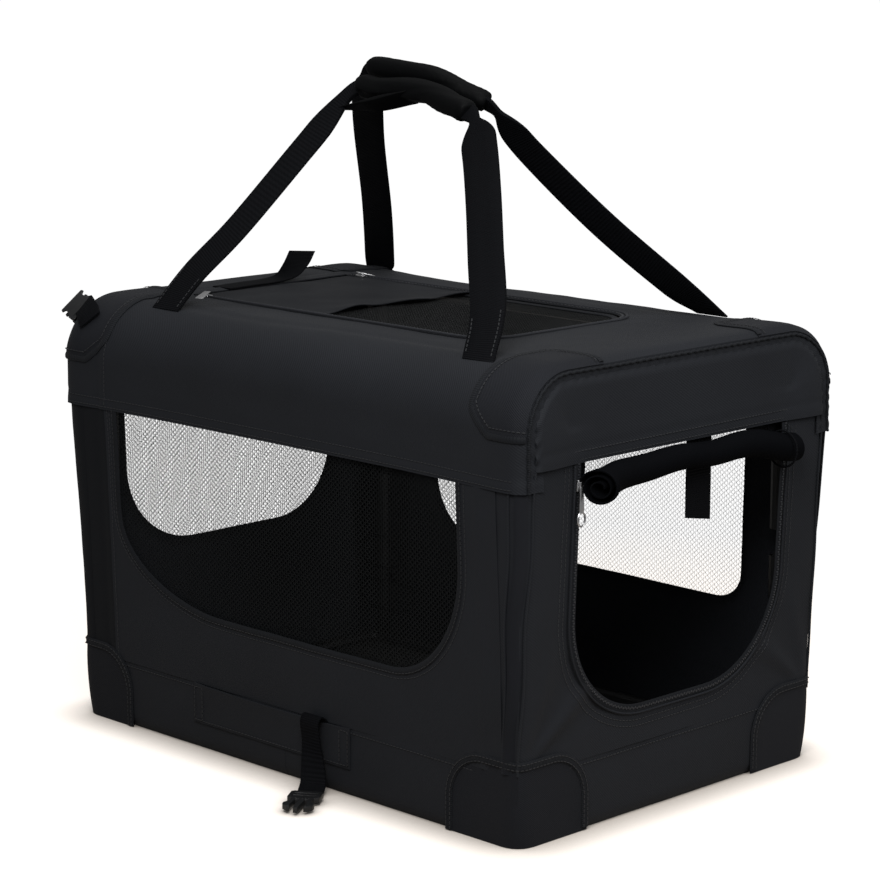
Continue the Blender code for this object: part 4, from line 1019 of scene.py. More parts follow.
class CRATE_OT_end_walls(CrateOperator, bpy.types.Operator):
    """Fabric of both ends, wrapped round the upright corners, with the doorway and the rear window"""

    bl_idname = "crate.end_walls"
    bl_label = "End Walls"

    def execute(self, context):
        self.wall("door", 1.0, (DOOR_HALF, DOOR_BOTTOM, DOOR_R), "door_wall")
        self.wall("rear", -1.0, (REAR_HALF, REAR_BOTTOM, REAR_R), "rear_wall")
        return {"FINISHED"}

    def out(self, y, z, end):
        """How far the cloth stands off, with the pulled folds that fan out from the doorway's low corners."""
        out = 0.0010 + self.sizes.pucker * softness(y, z, 11.0 if end == "door" else 15.0)
        if end == "door":
            for sy in (-1, 1):
                dy, dz = HY - 0.006 - sy * y, z - 0.071
                for bearing, deep in ((38, 0.0030), (56, -0.0020), (22, -0.0018), (74, 0.0016)):
                    c, n = math.cos(math.radians(bearing)), math.sin(math.radians(bearing))
                    along, off = dy * c + dz * n, -dy * n + dz * c
                    if 0 < along < 0.12:
                        out += deep * math.sin(math.pi * along / 0.12) * bell(off, 0.0, 0.004 + along * 0.05)
        return max(out, 0.0001)

    def wall(self, end, way, opening, node):
        half, bottom, r = opening
        sizes = self.sizes
        middle = HX - CORNER_R + CORNER_R * math.pi / 2 + HY - CORNER_R
        reach = middle - (WALL_HALF - 0.0045)
        low, high = 0.0658, WALL_TOP

        def surface(s, z):
            """Point on the wall, tucked in at its sides and behind the roof's hem."""
            tuck = 0.0026 * bell(abs(s), reach, 0.004)
            tuck += HEM_TUCK * clamp((z - END_HEM - 0.002) / 0.010)
            p, _ = base_point(middle + s, z, self.out(s, z, end) - tuck)
            return Vector((way * p.x, way * p.y, p.z))

        def place(u, v):
            return surface(reach * (2 * u - 1), low + (high - low) * v)

        def keep(u, v):
            s, z = reach * (2 * u - 1), low + (high - low) * v
            return z > DOOR_TOP + 0.003 or not in_u(s, z, half, bottom, r, 0.0026)

        bm = grid(cells(2 * reach, sizes.cell), cells(high - low, sizes.cell), place, 2 * reach, high - low, keep)
        obj = piece(f"{end}_end_cover", bm, "cover_cloth", MIDDLE, sizes.cloth)
        if end == "rear":
            # painted shade on the rear end's corners
            shade(obj, lambda at: abs(at.y) > DARK_Y)
        follow_end(obj)
        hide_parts(node)
        if end == "door":
            self.corner_tapes(middle)

        def beside(grow, over, step):
            path = u_path(half + grow, bottom - grow, r + grow, DOOR_TOP + over, 16)
            points = evenly([(0.0, way * y, z) for y, z in path], step)
            for p in points:
                p.x = surface(way * p.y, p.z).x
            return points, [Vector((way, 0, 0))] * len(points)

        bm = tape(*beside(0.0022, 0.003, 0.004), 0.0078, 0.0003, 0.0010)
        obj = piece(f"{end}_opening_binding", bm, "edge_binding", MIDDLE, 0.0012)
        follow_end(obj)
        rows = [stitches(*beside(grow, 0.001, 0.003), sizes) for grow in (0.0110, 0.0165)]
        obj = piece(f"{end}_opening_stitching", merge(rows), "sewing_thread")
        follow_end(obj)

    def corner_tapes(self, middle):
        """Dark tape between two corded seams, up both corners beside the doorway."""
        zs = [0.0668 + (0.336 - 0.0668) * n / 60 for n in range(61)]
        for tag, way in SIDES:
            rows = []
            for offset in (-0.0062, 0.0, 0.0062):
                row = []
                for z in zs:
                    lean = 0.0060 * (z - 0.15) / 0.2 + 0.0007 * math.sin(z * 55)
                    s = way * (middle - (CORNER_S - 0.0040 + lean + offset))
                    row.append(base_point(middle + s, z, 0.0013))
                rows.append(row)
            bm = tape(*zip(*rows[1]), 0.0120, -0.0002, 0.0012, 8)
            obj = piece(f"{tag}_corner_tape", bm, "patch_cloth", MIDDLE, 0.0010)
            follow_end(obj)
            cords = [tube([p + n * 0.0006 for p, n in rows[k]], 0.0012, 8) for k in (0, 2)]
            obj = piece(f"{tag}_corner_piping", merge(cords), "cover_cloth")
            follow_end(obj)


class CRATE_OT_door_zip(CrateOperator, bpy.types.Operator):
    """Zip round the doorway: tape, teeth and the corded edge beside it"""

    bl_idname = "crate.door_zip"
    bl_label = "Door Zip"

    def execute(self, context):
        normal = Vector((1, 0, 0))
        points = self.line(-0.0006, 0.003, 0.004, 0.0026)
        bm = tape(points, [normal] * len(points), 0.0070, 0.0, 0.0005)
        obj = piece("door_zip_tape", bm, "zip_tape", MIDDLE, 0.0008)
        follow_end(obj)
        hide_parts("door_zip")
        teeth = zip_teeth(self.line(-0.0006, 0.003, self.sizes.tooth, 0.0034), normal)
        obj = piece("door_zip_teeth", teeth, "zip_teeth")
        follow_end(obj)
        bm = tube(self.line(0.0044, 0.002, 0.004, 0.0030), 0.0010, 8)
        obj = piece("door_zip_cording", bm, "cover_cloth")
        follow_end(obj)
        return {"FINISHED"}

    def line(self, grow, over, step, lift):
        """Points round the doorway, grown outwards and lifted off the door end's cover."""
        path = u_path(DOOR_HALF + grow, DOOR_BOTTOM - grow, DOOR_R + grow, DOOR_TOP + over, 18)
        return [end_on(p, lift) for p in evenly([(0.0, y, z) for y, z in path], step)]


def zip_teeth(points, normal):
    """Teeth from both tapes, gripping each other along the zip's line."""
    bm = bmesh.new()
    for i, (p, way) in enumerate(zip(points, tangents(points))):
        side = normal.cross(way).normalized()
        turn = Matrix((way, side, normal)).transposed().to_4x4()
        shift = side * (0.0004 if i % 2 else -0.0004)
        scale = Matrix.Diagonal((0.0013, 0.0018, 0.0010, 1.0))
        bmesh.ops.create_cube(bm, size=1.0, matrix=Matrix.Translation(p + shift) @ turn @ scale)
    return bm


class CRATE_OT_base(CrateOperator, bpy.types.Operator):
    """Low band and floor fabric, with the corner patches and their bindings"""

    bl_idname = "crate.base"
    bl_label = "Base"

    def execute(self, context):
        self.band()
        for n, (sx, sy) in enumerate(CORNERS, 1):
            self.patch(n, sx, sy)
        return {"FINISHED"}

    def out(self, s, z):
        lean = 0.0008 * math.sin(math.pi * min(z / BAND_TOP, 1.0))
        tuck = -0.0046 * max(1 - z / 0.011, 0.0) ** 2
        rim = 0.0008 * bell(z, BAND_TOP - 0.002, 0.003)
        return lean + tuck + rim + 0.0004 * softness(s, z, 20.0) + 0.0003

    def band(self):
        height = BAND_TOP + 0.0012

        def place(u, v):
            z = 0.0004 + (height - 0.0004) * v**1.2
            return base_point(u * OUTLINE, z, self.out(u * OUTLINE, z))[0]

        bm = grid(cells(OUTLINE, 0.006), 14, place, OUTLINE, height, closed=True)
        rim = [e for e in bm.edges if e.is_boundary and e.verts[0].co.z < 0.01]
        bmesh.ops.holes_fill(bm, edges=rim)
        obj = piece("base_band", bm, "cover_cloth", MIDDLE, 0.0012)
        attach(obj, "base")
        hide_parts("base_tray")
        count = cells(OUTLINE, 0.004)
        z = BAND_TOP - 0.0045
        spots = [OUTLINE * n / count for n in range(count + 1)]
        line = [base_point(s, z, self.out(s, z) + 0.0002) for s in spots]
        obj = piece("band_stitching", stitches(*zip(*line), self.sizes), "sewing_thread")
        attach(obj, "base")

    def patch(self, n, sx, sy):
        reach = PATCH_REACH - (0.011 if sx < 0 else 0.0)
        total = 2 * (reach - CORNER_R) + CORNER_R * math.pi / 2
        first = CORNER_S - total / 2

        def surface(edge_s, z, out):
            p, normal = base_point(first + edge_s, z, out)
            return Vector((sx * p.x, -sy * p.y, p.z)), Vector((sx * normal.x, -sy * normal.y, 0.0))

        def place(u, v):
            s = total * u
            z = 0.0006 + (patch_height(min(s, total - s)) - 0.0006) * v
            lift = 0.0016 + 0.0004 * softness(s, z, n * 3.0) + 0.0008 * math.sin(math.pi * u) * math.sin(math.pi * v)
            return surface(s, z, lift)[0]

        bm = grid(34, 16, place, total, PATCH_HEIGHT)
        obj = piece(f"bottom_patch_{n}", bm, "patch_cloth", MIDDLE, 0.0010)
        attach(obj, "base")
        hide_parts(f"base_patch_{n}")
        border = [(0.0, 0.001 + 0.031 * k / 8) for k in range(8)]
        border += [(PATCH_BEND + x, PATCH_HEIGHT - PATCH_BEND + y) for x, y in arc(0, 0, PATCH_BEND, 180, 90, 12)]
        border += [(total - s, z) for s, z in reversed(border)]
        flat = evenly([(s, z, 0.0) for s, z in border], 0.0035)
        ways = tangents(flat)
        width = 0.0085

        def bind(u, v):
            i = round(v * (len(flat) - 1))
            inward = Vector((ways[i].y, -ways[i].x, 0.0))
            at = flat[i] + inward * (width * u - 0.0012)
            ripple = 0.0002 * math.sin(v * len(flat) * 1.7)
            return surface(at.x, max(at.y, 0.0006), 0.0021 + 0.0010 * crown(u) + ripple)[0]

        bm = grid(5, len(flat) - 1, bind, width, 0.0035 * len(flat))
        obj = piece(f"bottom_patch_binding_{n}", bm, "edge_binding", MIDDLE, 0.0010)
        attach(obj, "base")
        rows = []
        for share in (0.25, 0.8):
            line = []
            for p, way in zip(flat, ways):
                at = p + Vector((way.y, -way.x, 0.0)) * (width * share - 0.0012)
                line.append(surface(at.x, max(at.y, 0.0006), 0.0031))
            rows.append(stitches(*zip(*line), self.sizes))
        obj = piece(f"bottom_patch_stitching_{n}", merge(rows), "sewing_thread")
        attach(obj, "base")


class CRATE_OT_roof(CrateOperator, bpy.types.Operator):
    """Roof cover with its end panels, hems, corded seams and top corner patches"""

    bl_idname = "crate.roof"
    bl_label = "Roof Cover"

    def execute(self, context):
        self.wrap()
        for way in (1.0, -1.0):
            self.end_panel(way)
        self.seams()
        for n, (sx, sy) in enumerate(CORNERS, 1):
            self.patch(n, sx, sy)
        return {"FINISHED"}

    def wrap(self):
        pucker = self.sizes.pucker

        def place(u, v):
            t, s = CAP_REACH * (2 * u - 1), ARCH_LONG * v
            return cap_point(t, s, cap_relief(t, s, pucker))[0]

        def keep(u, v):
            p, normal = cap_point(CAP_REACH * (2 * u - 1), ARCH_LONG * v)
            return normal.z < 0.9 or not in_lid(p.x, p.y, 0.0030)

        across, along = cells(2 * CAP_REACH, self.sizes.cell), cells(ARCH_LONG, self.sizes.cell)
        bm = grid(across, along, place, 2 * CAP_REACH, ARCH_LONG, keep)
        obj = piece("roof_wrap", bm, "cover_cloth", MIDDLE, self.sizes.cloth)
        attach(obj, "top")
        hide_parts("roof_cover")

    def end_panel(self, way):
        half = CAP_Y - CAP_EDGE + 0.0085
        r = CAP_ROUND - CAP_EDGE + 0.0085
        top = ROOF_Z - CAP_EDGE + 0.0085

        def place(u, v):
            y = -half * math.cos(math.pi * u)
            over = max(abs(y) - (half - r), 0.0)
            z1 = top - r + math.sqrt(max(r * r - over * over, 0.0))
            z = END_HEM + (z1 - END_HEM) * v
            rise = max(z - (top - r), 0.0)
            apart = math.hypot(over, rise)
            rim = max(min(r - apart if rise > 0 else half - abs(y), half - abs(y)), 0.0)
            side = 1.0 if rise == 0 else (over / apart) ** 2
            full = CAP_FULL * (0.35 + 0.65 * side * bell(max(rim - 0.014, 0.0), 0.0, 0.03))
            out = 0.0006 * softness(y, z, 30.0 + way) + 0.0012
            out += 0.0018 * bell(z, END_HEM, 0.024) - 0.0005 * bell(z, END_HEM + 0.013, 0.003)
            out -= (0.0030 + 0.0012 * math.sin((y - z) * 480)) * bell(rim, 0.0, 0.0030)
            return Vector((way * (CAP_X + full + out), y, z))

        bm = grid(120, 26, place, 2 * half, top - END_HEM)
        tag = "door" if way > 0 else "rear"
        obj = piece(f"roof_end_{tag}", bm, "cover_cloth", MIDDLE, self.sizes.cloth)
        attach(obj, "top")
        rows = []
        for lift in HEM_ROWS:
            line = [Vector((way * (CAP_X + 0.0056), -0.160 + 0.320 * n / 90, END_HEM + lift)) for n in range(91)]
            rows.append(stitches(line, [Vector((way, 0, 0))] * 91, self.sizes))
        obj = piece(f"roof_end_stitching_{tag}", merge(rows), "sewing_thread")
        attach(obj, "top")

    def on_cap(self, pairs, lift):
        """Points and normals on the puckered cover, lifted off it."""
        return zip(*(cap_point(t, s, cap_relief(t, s, self.sizes.pucker) + lift) for t, s in pairs))

    def seams(self):
        cords = []
        rows = []
        for way in (1.0, -1.0):
            uneven = [CAP_STRAIGHT + 0.0200 + 0.0003 * math.sin(n * 1.9) for n in range(221)]
            points, _ = self.on_cap([(way * t, ARCH_LONG * n / 220) for n, t in enumerate(uneven)], 0.0007)
            cords.append(tube(points, 0.0013, 8))
            for lift in HEM_ROWS:
                s = lift if way > 0 else ARCH_LONG - lift
                run = [(-0.296 + 0.592 * n / 150, s) for n in range(151)]
                rows.append(stitches(*self.on_cap(run, 0.0002), self.sizes))
        obj = piece("roof_piping", merge(cords), "edge_binding")
        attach(obj, "top")
        for s0, s1 in ((0.004, 0.150), (ARCH_LONG - 0.150, ARCH_LONG - 0.004)):
            run = [(-0.2475, s0 + (s1 - s0) * n / 50) for n in range(51)]
            rows.append(stitches(*self.on_cap(run, 0.0002), self.sizes))
        obj = piece("roof_stitching", merge(rows), "sewing_thread")
        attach(obj, "top")

    def patch(self, n, sx, sy):
        s0 = TOP_PATCH_LOW - SIDE_HEM
        s1 = ARCH_SIDE + ARCH_BEND + (CAP_Y - CAP_ROUND) - TOP_PATCH_IN
        x0, x1 = TOP_PATCH_X, CAP_STRAIGHT + 0.0180

        def flip(p):
            return Vector((sx * p.x, -sy * p.y, p.z))

        def left(s):
            """Where the patch's inner edge runs: cut off slantwise at its lower end."""
            low = max(0.026 - (s - s0), 0.0)
            high = max(0.014 - (s1 - s), 0.0)
            return x0 + 0.028 * (low / 0.026) ** 1.6 + 0.014 * (high / 0.014) ** 2

        def surface(x, s, lift):
            relief = cap_relief(sx * x, s if sy < 0 else ARCH_LONG - s, self.sizes.pucker)
            p, normal = cap_point(x, s, relief + lift)
            return flip(p), flip(normal)

        def place(u, v):
            s = s0 + (s1 - s0) * v
            x = left(s) + (x1 - left(s)) * u
            return surface(x, s, 0.0010)[0]

        bm = grid(10, 32, place, x1 - x0, s1 - s0)
        obj = piece(f"top_corner_patch_{n}", bm, "patch_cloth", MIDDLE, 0.0010)
        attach(obj, "top")
        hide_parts(f"top_patch_{n}")
        edge = [(x1, s0)] + [(left(s0 + (s1 - s0) * k / 40), s0 + (s1 - s0) * k / 40) for k in range(41)] + [(x1, s1)]
        flat = evenly([(x, s, 0.0) for x, s in edge], 0.003)
        ways = tangents(flat)

        def bind(u, v):
            i = round(v * (len(flat) - 1))
            at = flat[i] + Vector((ways[i].y, -ways[i].x, 0.0)) * (0.0055 * u - 0.0008)
            return surface(min(at.x, x1), at.y, 0.0012 + 0.0006 * crown(u))[0]

        bm = grid(4, len(flat) - 1, bind, 0.0055, 0.003 * len(flat))
        obj = piece(f"top_patch_binding_{n}", bm, "edge_binding", MIDDLE, 0.0010)
        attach(obj, "top")
        line = []
        for p, way in zip(flat, ways):
            at = p + Vector((way.y, -way.x, 0.0)) * 0.0085
            line.append(surface(min(max(at.x, x0), x1), min(max(at.y, s0), s1), 0.0016))
        bm = stitches(*zip(*line), self.sizes)
        obj = piece(f"top_patch_stitching_{n}", bm, "sewing_thread")
        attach(obj, "top")


class CRATE_OT_lid(CrateOperator, bpy.types.Operator):
    """Roof lid: loose cloth over its rear half, an edge tape, and the zip in the roof round it"""

    bl_idname = "crate.lid"
    bl_label = "Lid"

    def execute(self, context):
        sizes = self.sizes
        x0, half = LID_X0 + 0.0008, LID_HALF - 0.0012

        def place(u, v):
            y = half * (2 * v - 1)
            x1 = LID_NET_X0 + 0.004 + 0.010 * noise.noise(Vector((y * 22, 0.4, 0.0))) + 0.006 * math.sin(y * 30)
            x = x0 + (x1 - x0) * u
            wave = 0.0016 * softness(x, y, 40.0, 14.0)
            loose = bell(u, 1.0, 0.10) * (0.0016 + 0.0014 * math.sin(y * 90))
            return Vector((x, y, ROOF_Z - 0.0004 + wave + loose + 0.0008))

        bm = grid(46, 50, place, LID_NET_X0 - x0, 2 * half)
        cloth = piece("lid_cloth", bm, "lid_cloth", (0, 0, 0), 0.0008)
        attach(cloth, "lid")
        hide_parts("lid_panel")
        points = evenly(lid_path(-0.0045, ROOF_Z - 0.0012), 0.004)
        bm = tape(points, [Vector((0, 0, 1))] * len(points), 0.0070, 0.0, 0.0008)
        edge = piece("lid_edge_tape", bm, "zip_tape", (0, 0, 0), 0.0010)
        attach(edge, "lid")
        points = evenly(lid_path(0.0040, ROOF_Z + 0.0006), 0.004)
        bm = tape(points, [Vector((0, 0, 1))] * len(points), 0.0085, 0.0, 0.0006)
        obj = piece("lid_zip_tape", bm, "zip_tape", (0, 0, 0), 0.0012)
        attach(obj, "top")
        bm = tube(evenly(lid_path(0.0065, ROOF_Z + 0.0016), 0.004), 0.0013, 8)
        obj = piece("lid_zip_cording", bm, "seam_piping")
        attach(obj, "top")
        bm = zip_teeth(evenly(lid_path(0.0022, ROOF_Z + 0.0014), sizes.tooth), Vector((0, 0, 1)))
        obj = piece("lid_zip_teeth", bm, "zip_teeth")
        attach(obj, "top")
        return {"FINISHED"}


class CRATE_OT_rolled_door(CrateOperator, bpy.types.Operator):
    """Door panel rolled up under the roof's edge, with its tie strap and cord"""

    bl_idname = "crate.rolled_door"
    bl_label = "Rolled Door"

    def execute(self, context):
        whole = ROLL_TURNS * 2 * math.pi
        tail = END_HEM - 0.0008 - ROLL_Z
        spiral = whole * (ROLL_R + ROLL_CORE) / 2
        long = spiral + tail

        def sag(v):
            """The strap holds the roll up in the middle and its ends hang."""
            return 0.0072 * (1 - bell(v, 0.0, 0.16)) - 0.0125 * bell(v, 1.04, 0.16) + 0.0012 * math.sin(v * 19)

        def place(u, v):
            y = ROLL_Y0 + (ROLL_Y1 - ROLL_Y0) * v
            held = math.sin(math.pi * clamp((v - 0.06) / 0.86)) ** 1.2
            squeeze = 1.0 - 0.14 * held + 0.16 * bell(v, 0.0, 0.05)
            turn_out = 0.010 * bell(v, 0.0, 0.09)
            ripple = 0.0007 * softness(y, u * 0.2, 50.0, 16.0)
            at = u * long
            if at < spiral:
                share = at / spiral
                a = math.pi - whole * (1 - share)
                r = (ROLL_CORE + (ROLL_R - ROLL_CORE) * share) * squeeze + ripple * share
                drop = sag(v)
                skew = 0.45 * turn_out / 0.010 * r * math.cos(a) * bell(v, 0.0, 0.05)
                return Vector((ROLL_X + turn_out + r * math.cos(a), y + skew, ROLL_Z + r * math.sin(a) + drop))
            up = at - spiral
            back = ROLL_R * (squeeze + (1 - squeeze) * min(up / 0.012, 1.0))
            return Vector((ROLL_X - back + 0.0006, y, ROLL_Z + up + sag(v) * (1 - up / tail)))

        def keep(u, v):
            """The door's own net shows above the roll, so the cloth stays only along its sides."""
            return u * long < spiral + 0.001 or v < 0.035 or v > 0.93

        bm = grid(96, 56, place, long, ROLL_Y1 - ROLL_Y0, keep)
        roll = piece("door_roll", bm, "roll_cloth", None, 0.0013, 50)
        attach(roll, "top")
        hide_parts("rolled_door")
        top = END_HEM - 0.001
        points = [Vector((HX + 0.0016, 0.030, z)) for z in (top, 0.31, 0.29, 0.275, 0.262)]
        bm = ribbon(smooth_path(points, 24), [Vector((0, 1, 0))] * 25, [0.0172] * 25, [0.0012] * 25)
        for vert in bm.verts:
            if vert.co.z < 0.275:
                vert.co.z -= (vert.co.y - 0.0135) * 0.18 * (0.275 - vert.co.z) / 0.013
        tie = piece("roll_tie_strap", bm, "strap_webbing")
        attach(tie, "top")
        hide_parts("door_tie_strap")
        r = ROLL_R + 0.0014
        angles = [2 * math.pi * k / 28 for k in range(29)]
        ring = [Vector((ROLL_X + r * math.cos(a), ROLL_Y1 - 0.016, ROLL_Z - 0.003 + r * math.sin(a))) for a in angles]
        bm = tube(ring, 0.0010, 8, closed=True)
        loop = piece("roll_tie_cord", bm, "strap_webbing")
        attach(loop, "top")
        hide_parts("door_tie_loop")
        return {"FINISHED"}


NEAR_GRIP = [(-0.102, -0.012, 0.6215), (-0.067, -0.012, 0.6260), (-0.034, -0.012, 0.6285)]
NEAR_GRIP += [(0.001, -0.012, 0.6260), (0.036, -0.018, 0.6185), (0.072, -0.025, 0.6080)]
FAR_GRIP = [(-0.105, 0.012, 0.6400), (-0.068, 0.010, 0.6455), (-0.016, 0.012, 0.6385)]
FAR_GRIP += [(0.014, 0.020, 0.6265), (0.042, 0.032, 0.6120)]
NEAR_REAR = [(-0.187, -0.145, 0.452), (-0.160, -0.110, 0.495), (-0.126, -0.050, 0.570)]
NEAR_DOOR = [(0.1000, -0.0458, 0.5822), (0.134, -0.074, 0.542), (0.170, -0.107, 0.497), (0.206, -0.142, 0.453)]
FAR_REAR = [(-0.245, 0.155, 0.440), (-0.205, 0.112, 0.497), (-0.150, 0.050, 0.585)]
FAR_DOOR = [(0.062, 0.060, 0.569), (0.109, 0.108, 0.502), (0.160, 0.147, 0.449)]
HANDLE_SURFACE = ROOF_Z - CAP_ROUND + math.sqrt(CAP_ROUND**2 - (HANDLE_Y - (CAP_Y - CAP_ROUND)) ** 2)


def handle_plane(sy, grip, lift):
    """Point on a carrying loop's hinge line, and the loop's normal."""
    hinge = Vector((0.0, sy * HANDLE_Y, HANDLE_SURFACE + HANDLE_LIFT + lift))
    lean = Vector((0.0, grip[2][1] - hinge.y, grip[2][2] - hinge.z)).normalized()
    return hinge, Vector((1.0, 0.0, 0.0)).cross(lean)


class CRATE_OT_handles(CrateOperator, bpy.types.Operator):
    """Carrying loops of webbing with their padded grips and the flap that closes round them"""

    bl_idname = "crate.handles"
    bl_label = "Carrying Loops"

    def execute(self, context):
        self.loop("near", -1, NEAR_GRIP, (-0.200, 0.222), 0.0, NEAR_REAR, NEAR_DOOR, 0.0)
        self.loop("far", 1, FAR_GRIP, (-0.262, 0.196), PATCH_LIFT, FAR_REAR, FAR_DOOR, math.radians(-11))
        self.flap()
        return {"FINISHED"}

    def loop(self, side, sy, grip, feet, lift, rear_leg, door_leg, twist):
        hinge, normal = handle_plane(sy, grip, lift)
        start, end = (hinge + Vector((x, 0.0, 0.0)) for x in feet)
        route = [start] + [Vector(p) for p in rear_leg + grip + door_leg] + [end]
        route = [p - normal * (p - start).dot(normal) for p in route]
        count = 160
        points = smooth_path(route, count)
        first = len(rear_leg) + 1
        grip_from = first / (len(route) - 1) * count
        grip_to = (first + len(grip) - 1) / (len(route) - 1) * count
        ways = tangents(points)
        widths = []
        halves = []
        thicks = []
        for i in range(count + 1):
            flat = normal.cross(ways[i])
            down = clamp((i - grip_to - 4) / (count - grip_to - 4))
            flat = Matrix.Rotation(twist * math.sin(math.pi * down) ** 0.6, 3, ways[i]) @ flat
            edge = min(i, count - i) / 12
            way = Vector((-1.0 if i < count / 2 else 1.0, 0.0, 0.0))
            widths.append(flat if edge >= 1 else way * (1 - edge) + flat * edge)
            away = max(grip_from - i, i - grip_to, 0.0) / 3.2
            share = clamp((away - 0.4) / 2.5)
            share = share * share * (3 - 2 * share)
            neck = FOLDED_HALF - 0.0035 * bell(i - grip_to, 1.5, 2.5)
            halves.append(neck + (WEB_HALF - neck) * share)
            thicks.append(WEB_THICK * (2 - share))
        bm = ribbon(points, widths, halves, thicks)
        web = piece(f"{side}_carry_webbing", bm, "strap_webbing")
        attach(web, f"{side}_handle")
        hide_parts(f"{side}_handle_webbing")
        rows = []
        for at in (6, count - 6):
            for off in (-0.5, 0.5):
                spots = [at + k for k in (-5, -2, 0, 2, 5)]
                line = [points[k] + widths[k].normalized() * (WEB_HALF * off * 1.6) for k in spots]
                rows.append(stitches([p - normal * 0.0016 * sy for p in line], [-normal * sy] * 5, self.sizes))
        thread = piece(f"{side}_carry_stitching", merge(rows), "sewing_thread")
        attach(thread, f"{side}_handle")
        self.grip(side, points, normal, math.ceil(grip_from / 4) * 4, math.floor(grip_to / 4) * 4)

    def grip(self, side, points, normal, begin, finish):
        rings, around = 84, 56

        def place(u, v):
            i = begin + (finish - begin) * v
            k = min(int(i), finish - 1)
            p = points[k].lerp(points[k + 1], i - k)
            way = (points[k + 1] - points[k - 1]).normalized()
            w = normal.cross(way).normalized()
            a = 2 * math.pi * u
            edge = min(v, 1 - v)
            round_end = math.sqrt(1 - (1 - min(edge / 0.055, 1.0)) ** 2) * 0.30 + 0.70
            swell = round_end * (1.0 + 0.05 * noise.noise(Vector((v * 7, 0.0, 3.0 if side == "near" else 9.0))))
            phase = 0.0 if side == "near" else 1.6
            fold = 1.0 - 0.20 * bell(math.sin(a - 1.0 - 1.5 * v - phase), 1.0, 0.035)
            fold += 0.07 * bell(math.sin(a - 0.35 - 1.5 * v - phase), 1.0, 0.05)
            fold -= 0.11 * bell(math.sin(a + 2.2 + 2.6 * v + phase), 1.0, 0.03)
            fold -= 0.06 * bell(math.sin(2 * a + 7 * v + phase), 1.0, 0.10)
            fold -= 0.10 * bell(v, 1.0, 0.16) * (0.5 + 0.5 * math.sin(3 * a + phase))
            r = swell * fold
            lift = 0.0006 * softness(v * 0.4, math.cos(a) * 0.03, math.sin(a) * 0.03, 12.0, 60.0)
            across = (PAD_WIDE * r + lift - 0.0002) * math.cos(a)
            up = (PAD_DEEP * r + lift - 0.0002) * math.sin(a)
            return p + w * across + normal * up

        bm = grid(around, rings, place, 2 * math.pi * PAD_WIDE, 0.17, closed=True)
        ends = [e for e in bm.edges if e.is_boundary]
        filled = bmesh.ops.holes_fill(bm, edges=ends)["faces"]
        bmesh.ops.inset_region(bm, faces=filled, thickness=0.0022, depth=-0.0006)
        obj = piece(f"{side}_grip", bm, "grip_cloth", None, 0.0, 60)
        inflate(obj, 0.0022, 4.0, 0.0016)
        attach(obj, f"{side}_handle")
        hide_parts(f"{side}_grip_pad")

    def flap(self):
        """Pointed end of the wrap, pressed up under the near grip."""
        _, normal = handle_plane(-1, NEAR_GRIP, 0.0)
        route = [(-0.1090, -0.0278, 0.6070), (-0.0878, -0.0256, 0.6098), (-0.0665, -0.0234, 0.6126)]
        route += [(-0.0428, -0.0196, 0.6175), (-0.0201, -0.0153, 0.6222)]
        points = smooth_path(route, 36)
        halves = [0.0020 + 0.0085 * math.sin(math.pi * min(k / 30, 1.0) / 2) for k in range(37)]
        thicks = [0.0010 + 0.0034 * bell(k, 22, 9) for k in range(37)]
        bm = ribbon(points, [normal] * 37, halves, thicks)
        obj = piece("grip_closing_flap", bm, "grip_cloth")
        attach(obj, "near_handle")
        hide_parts("grip_flap")


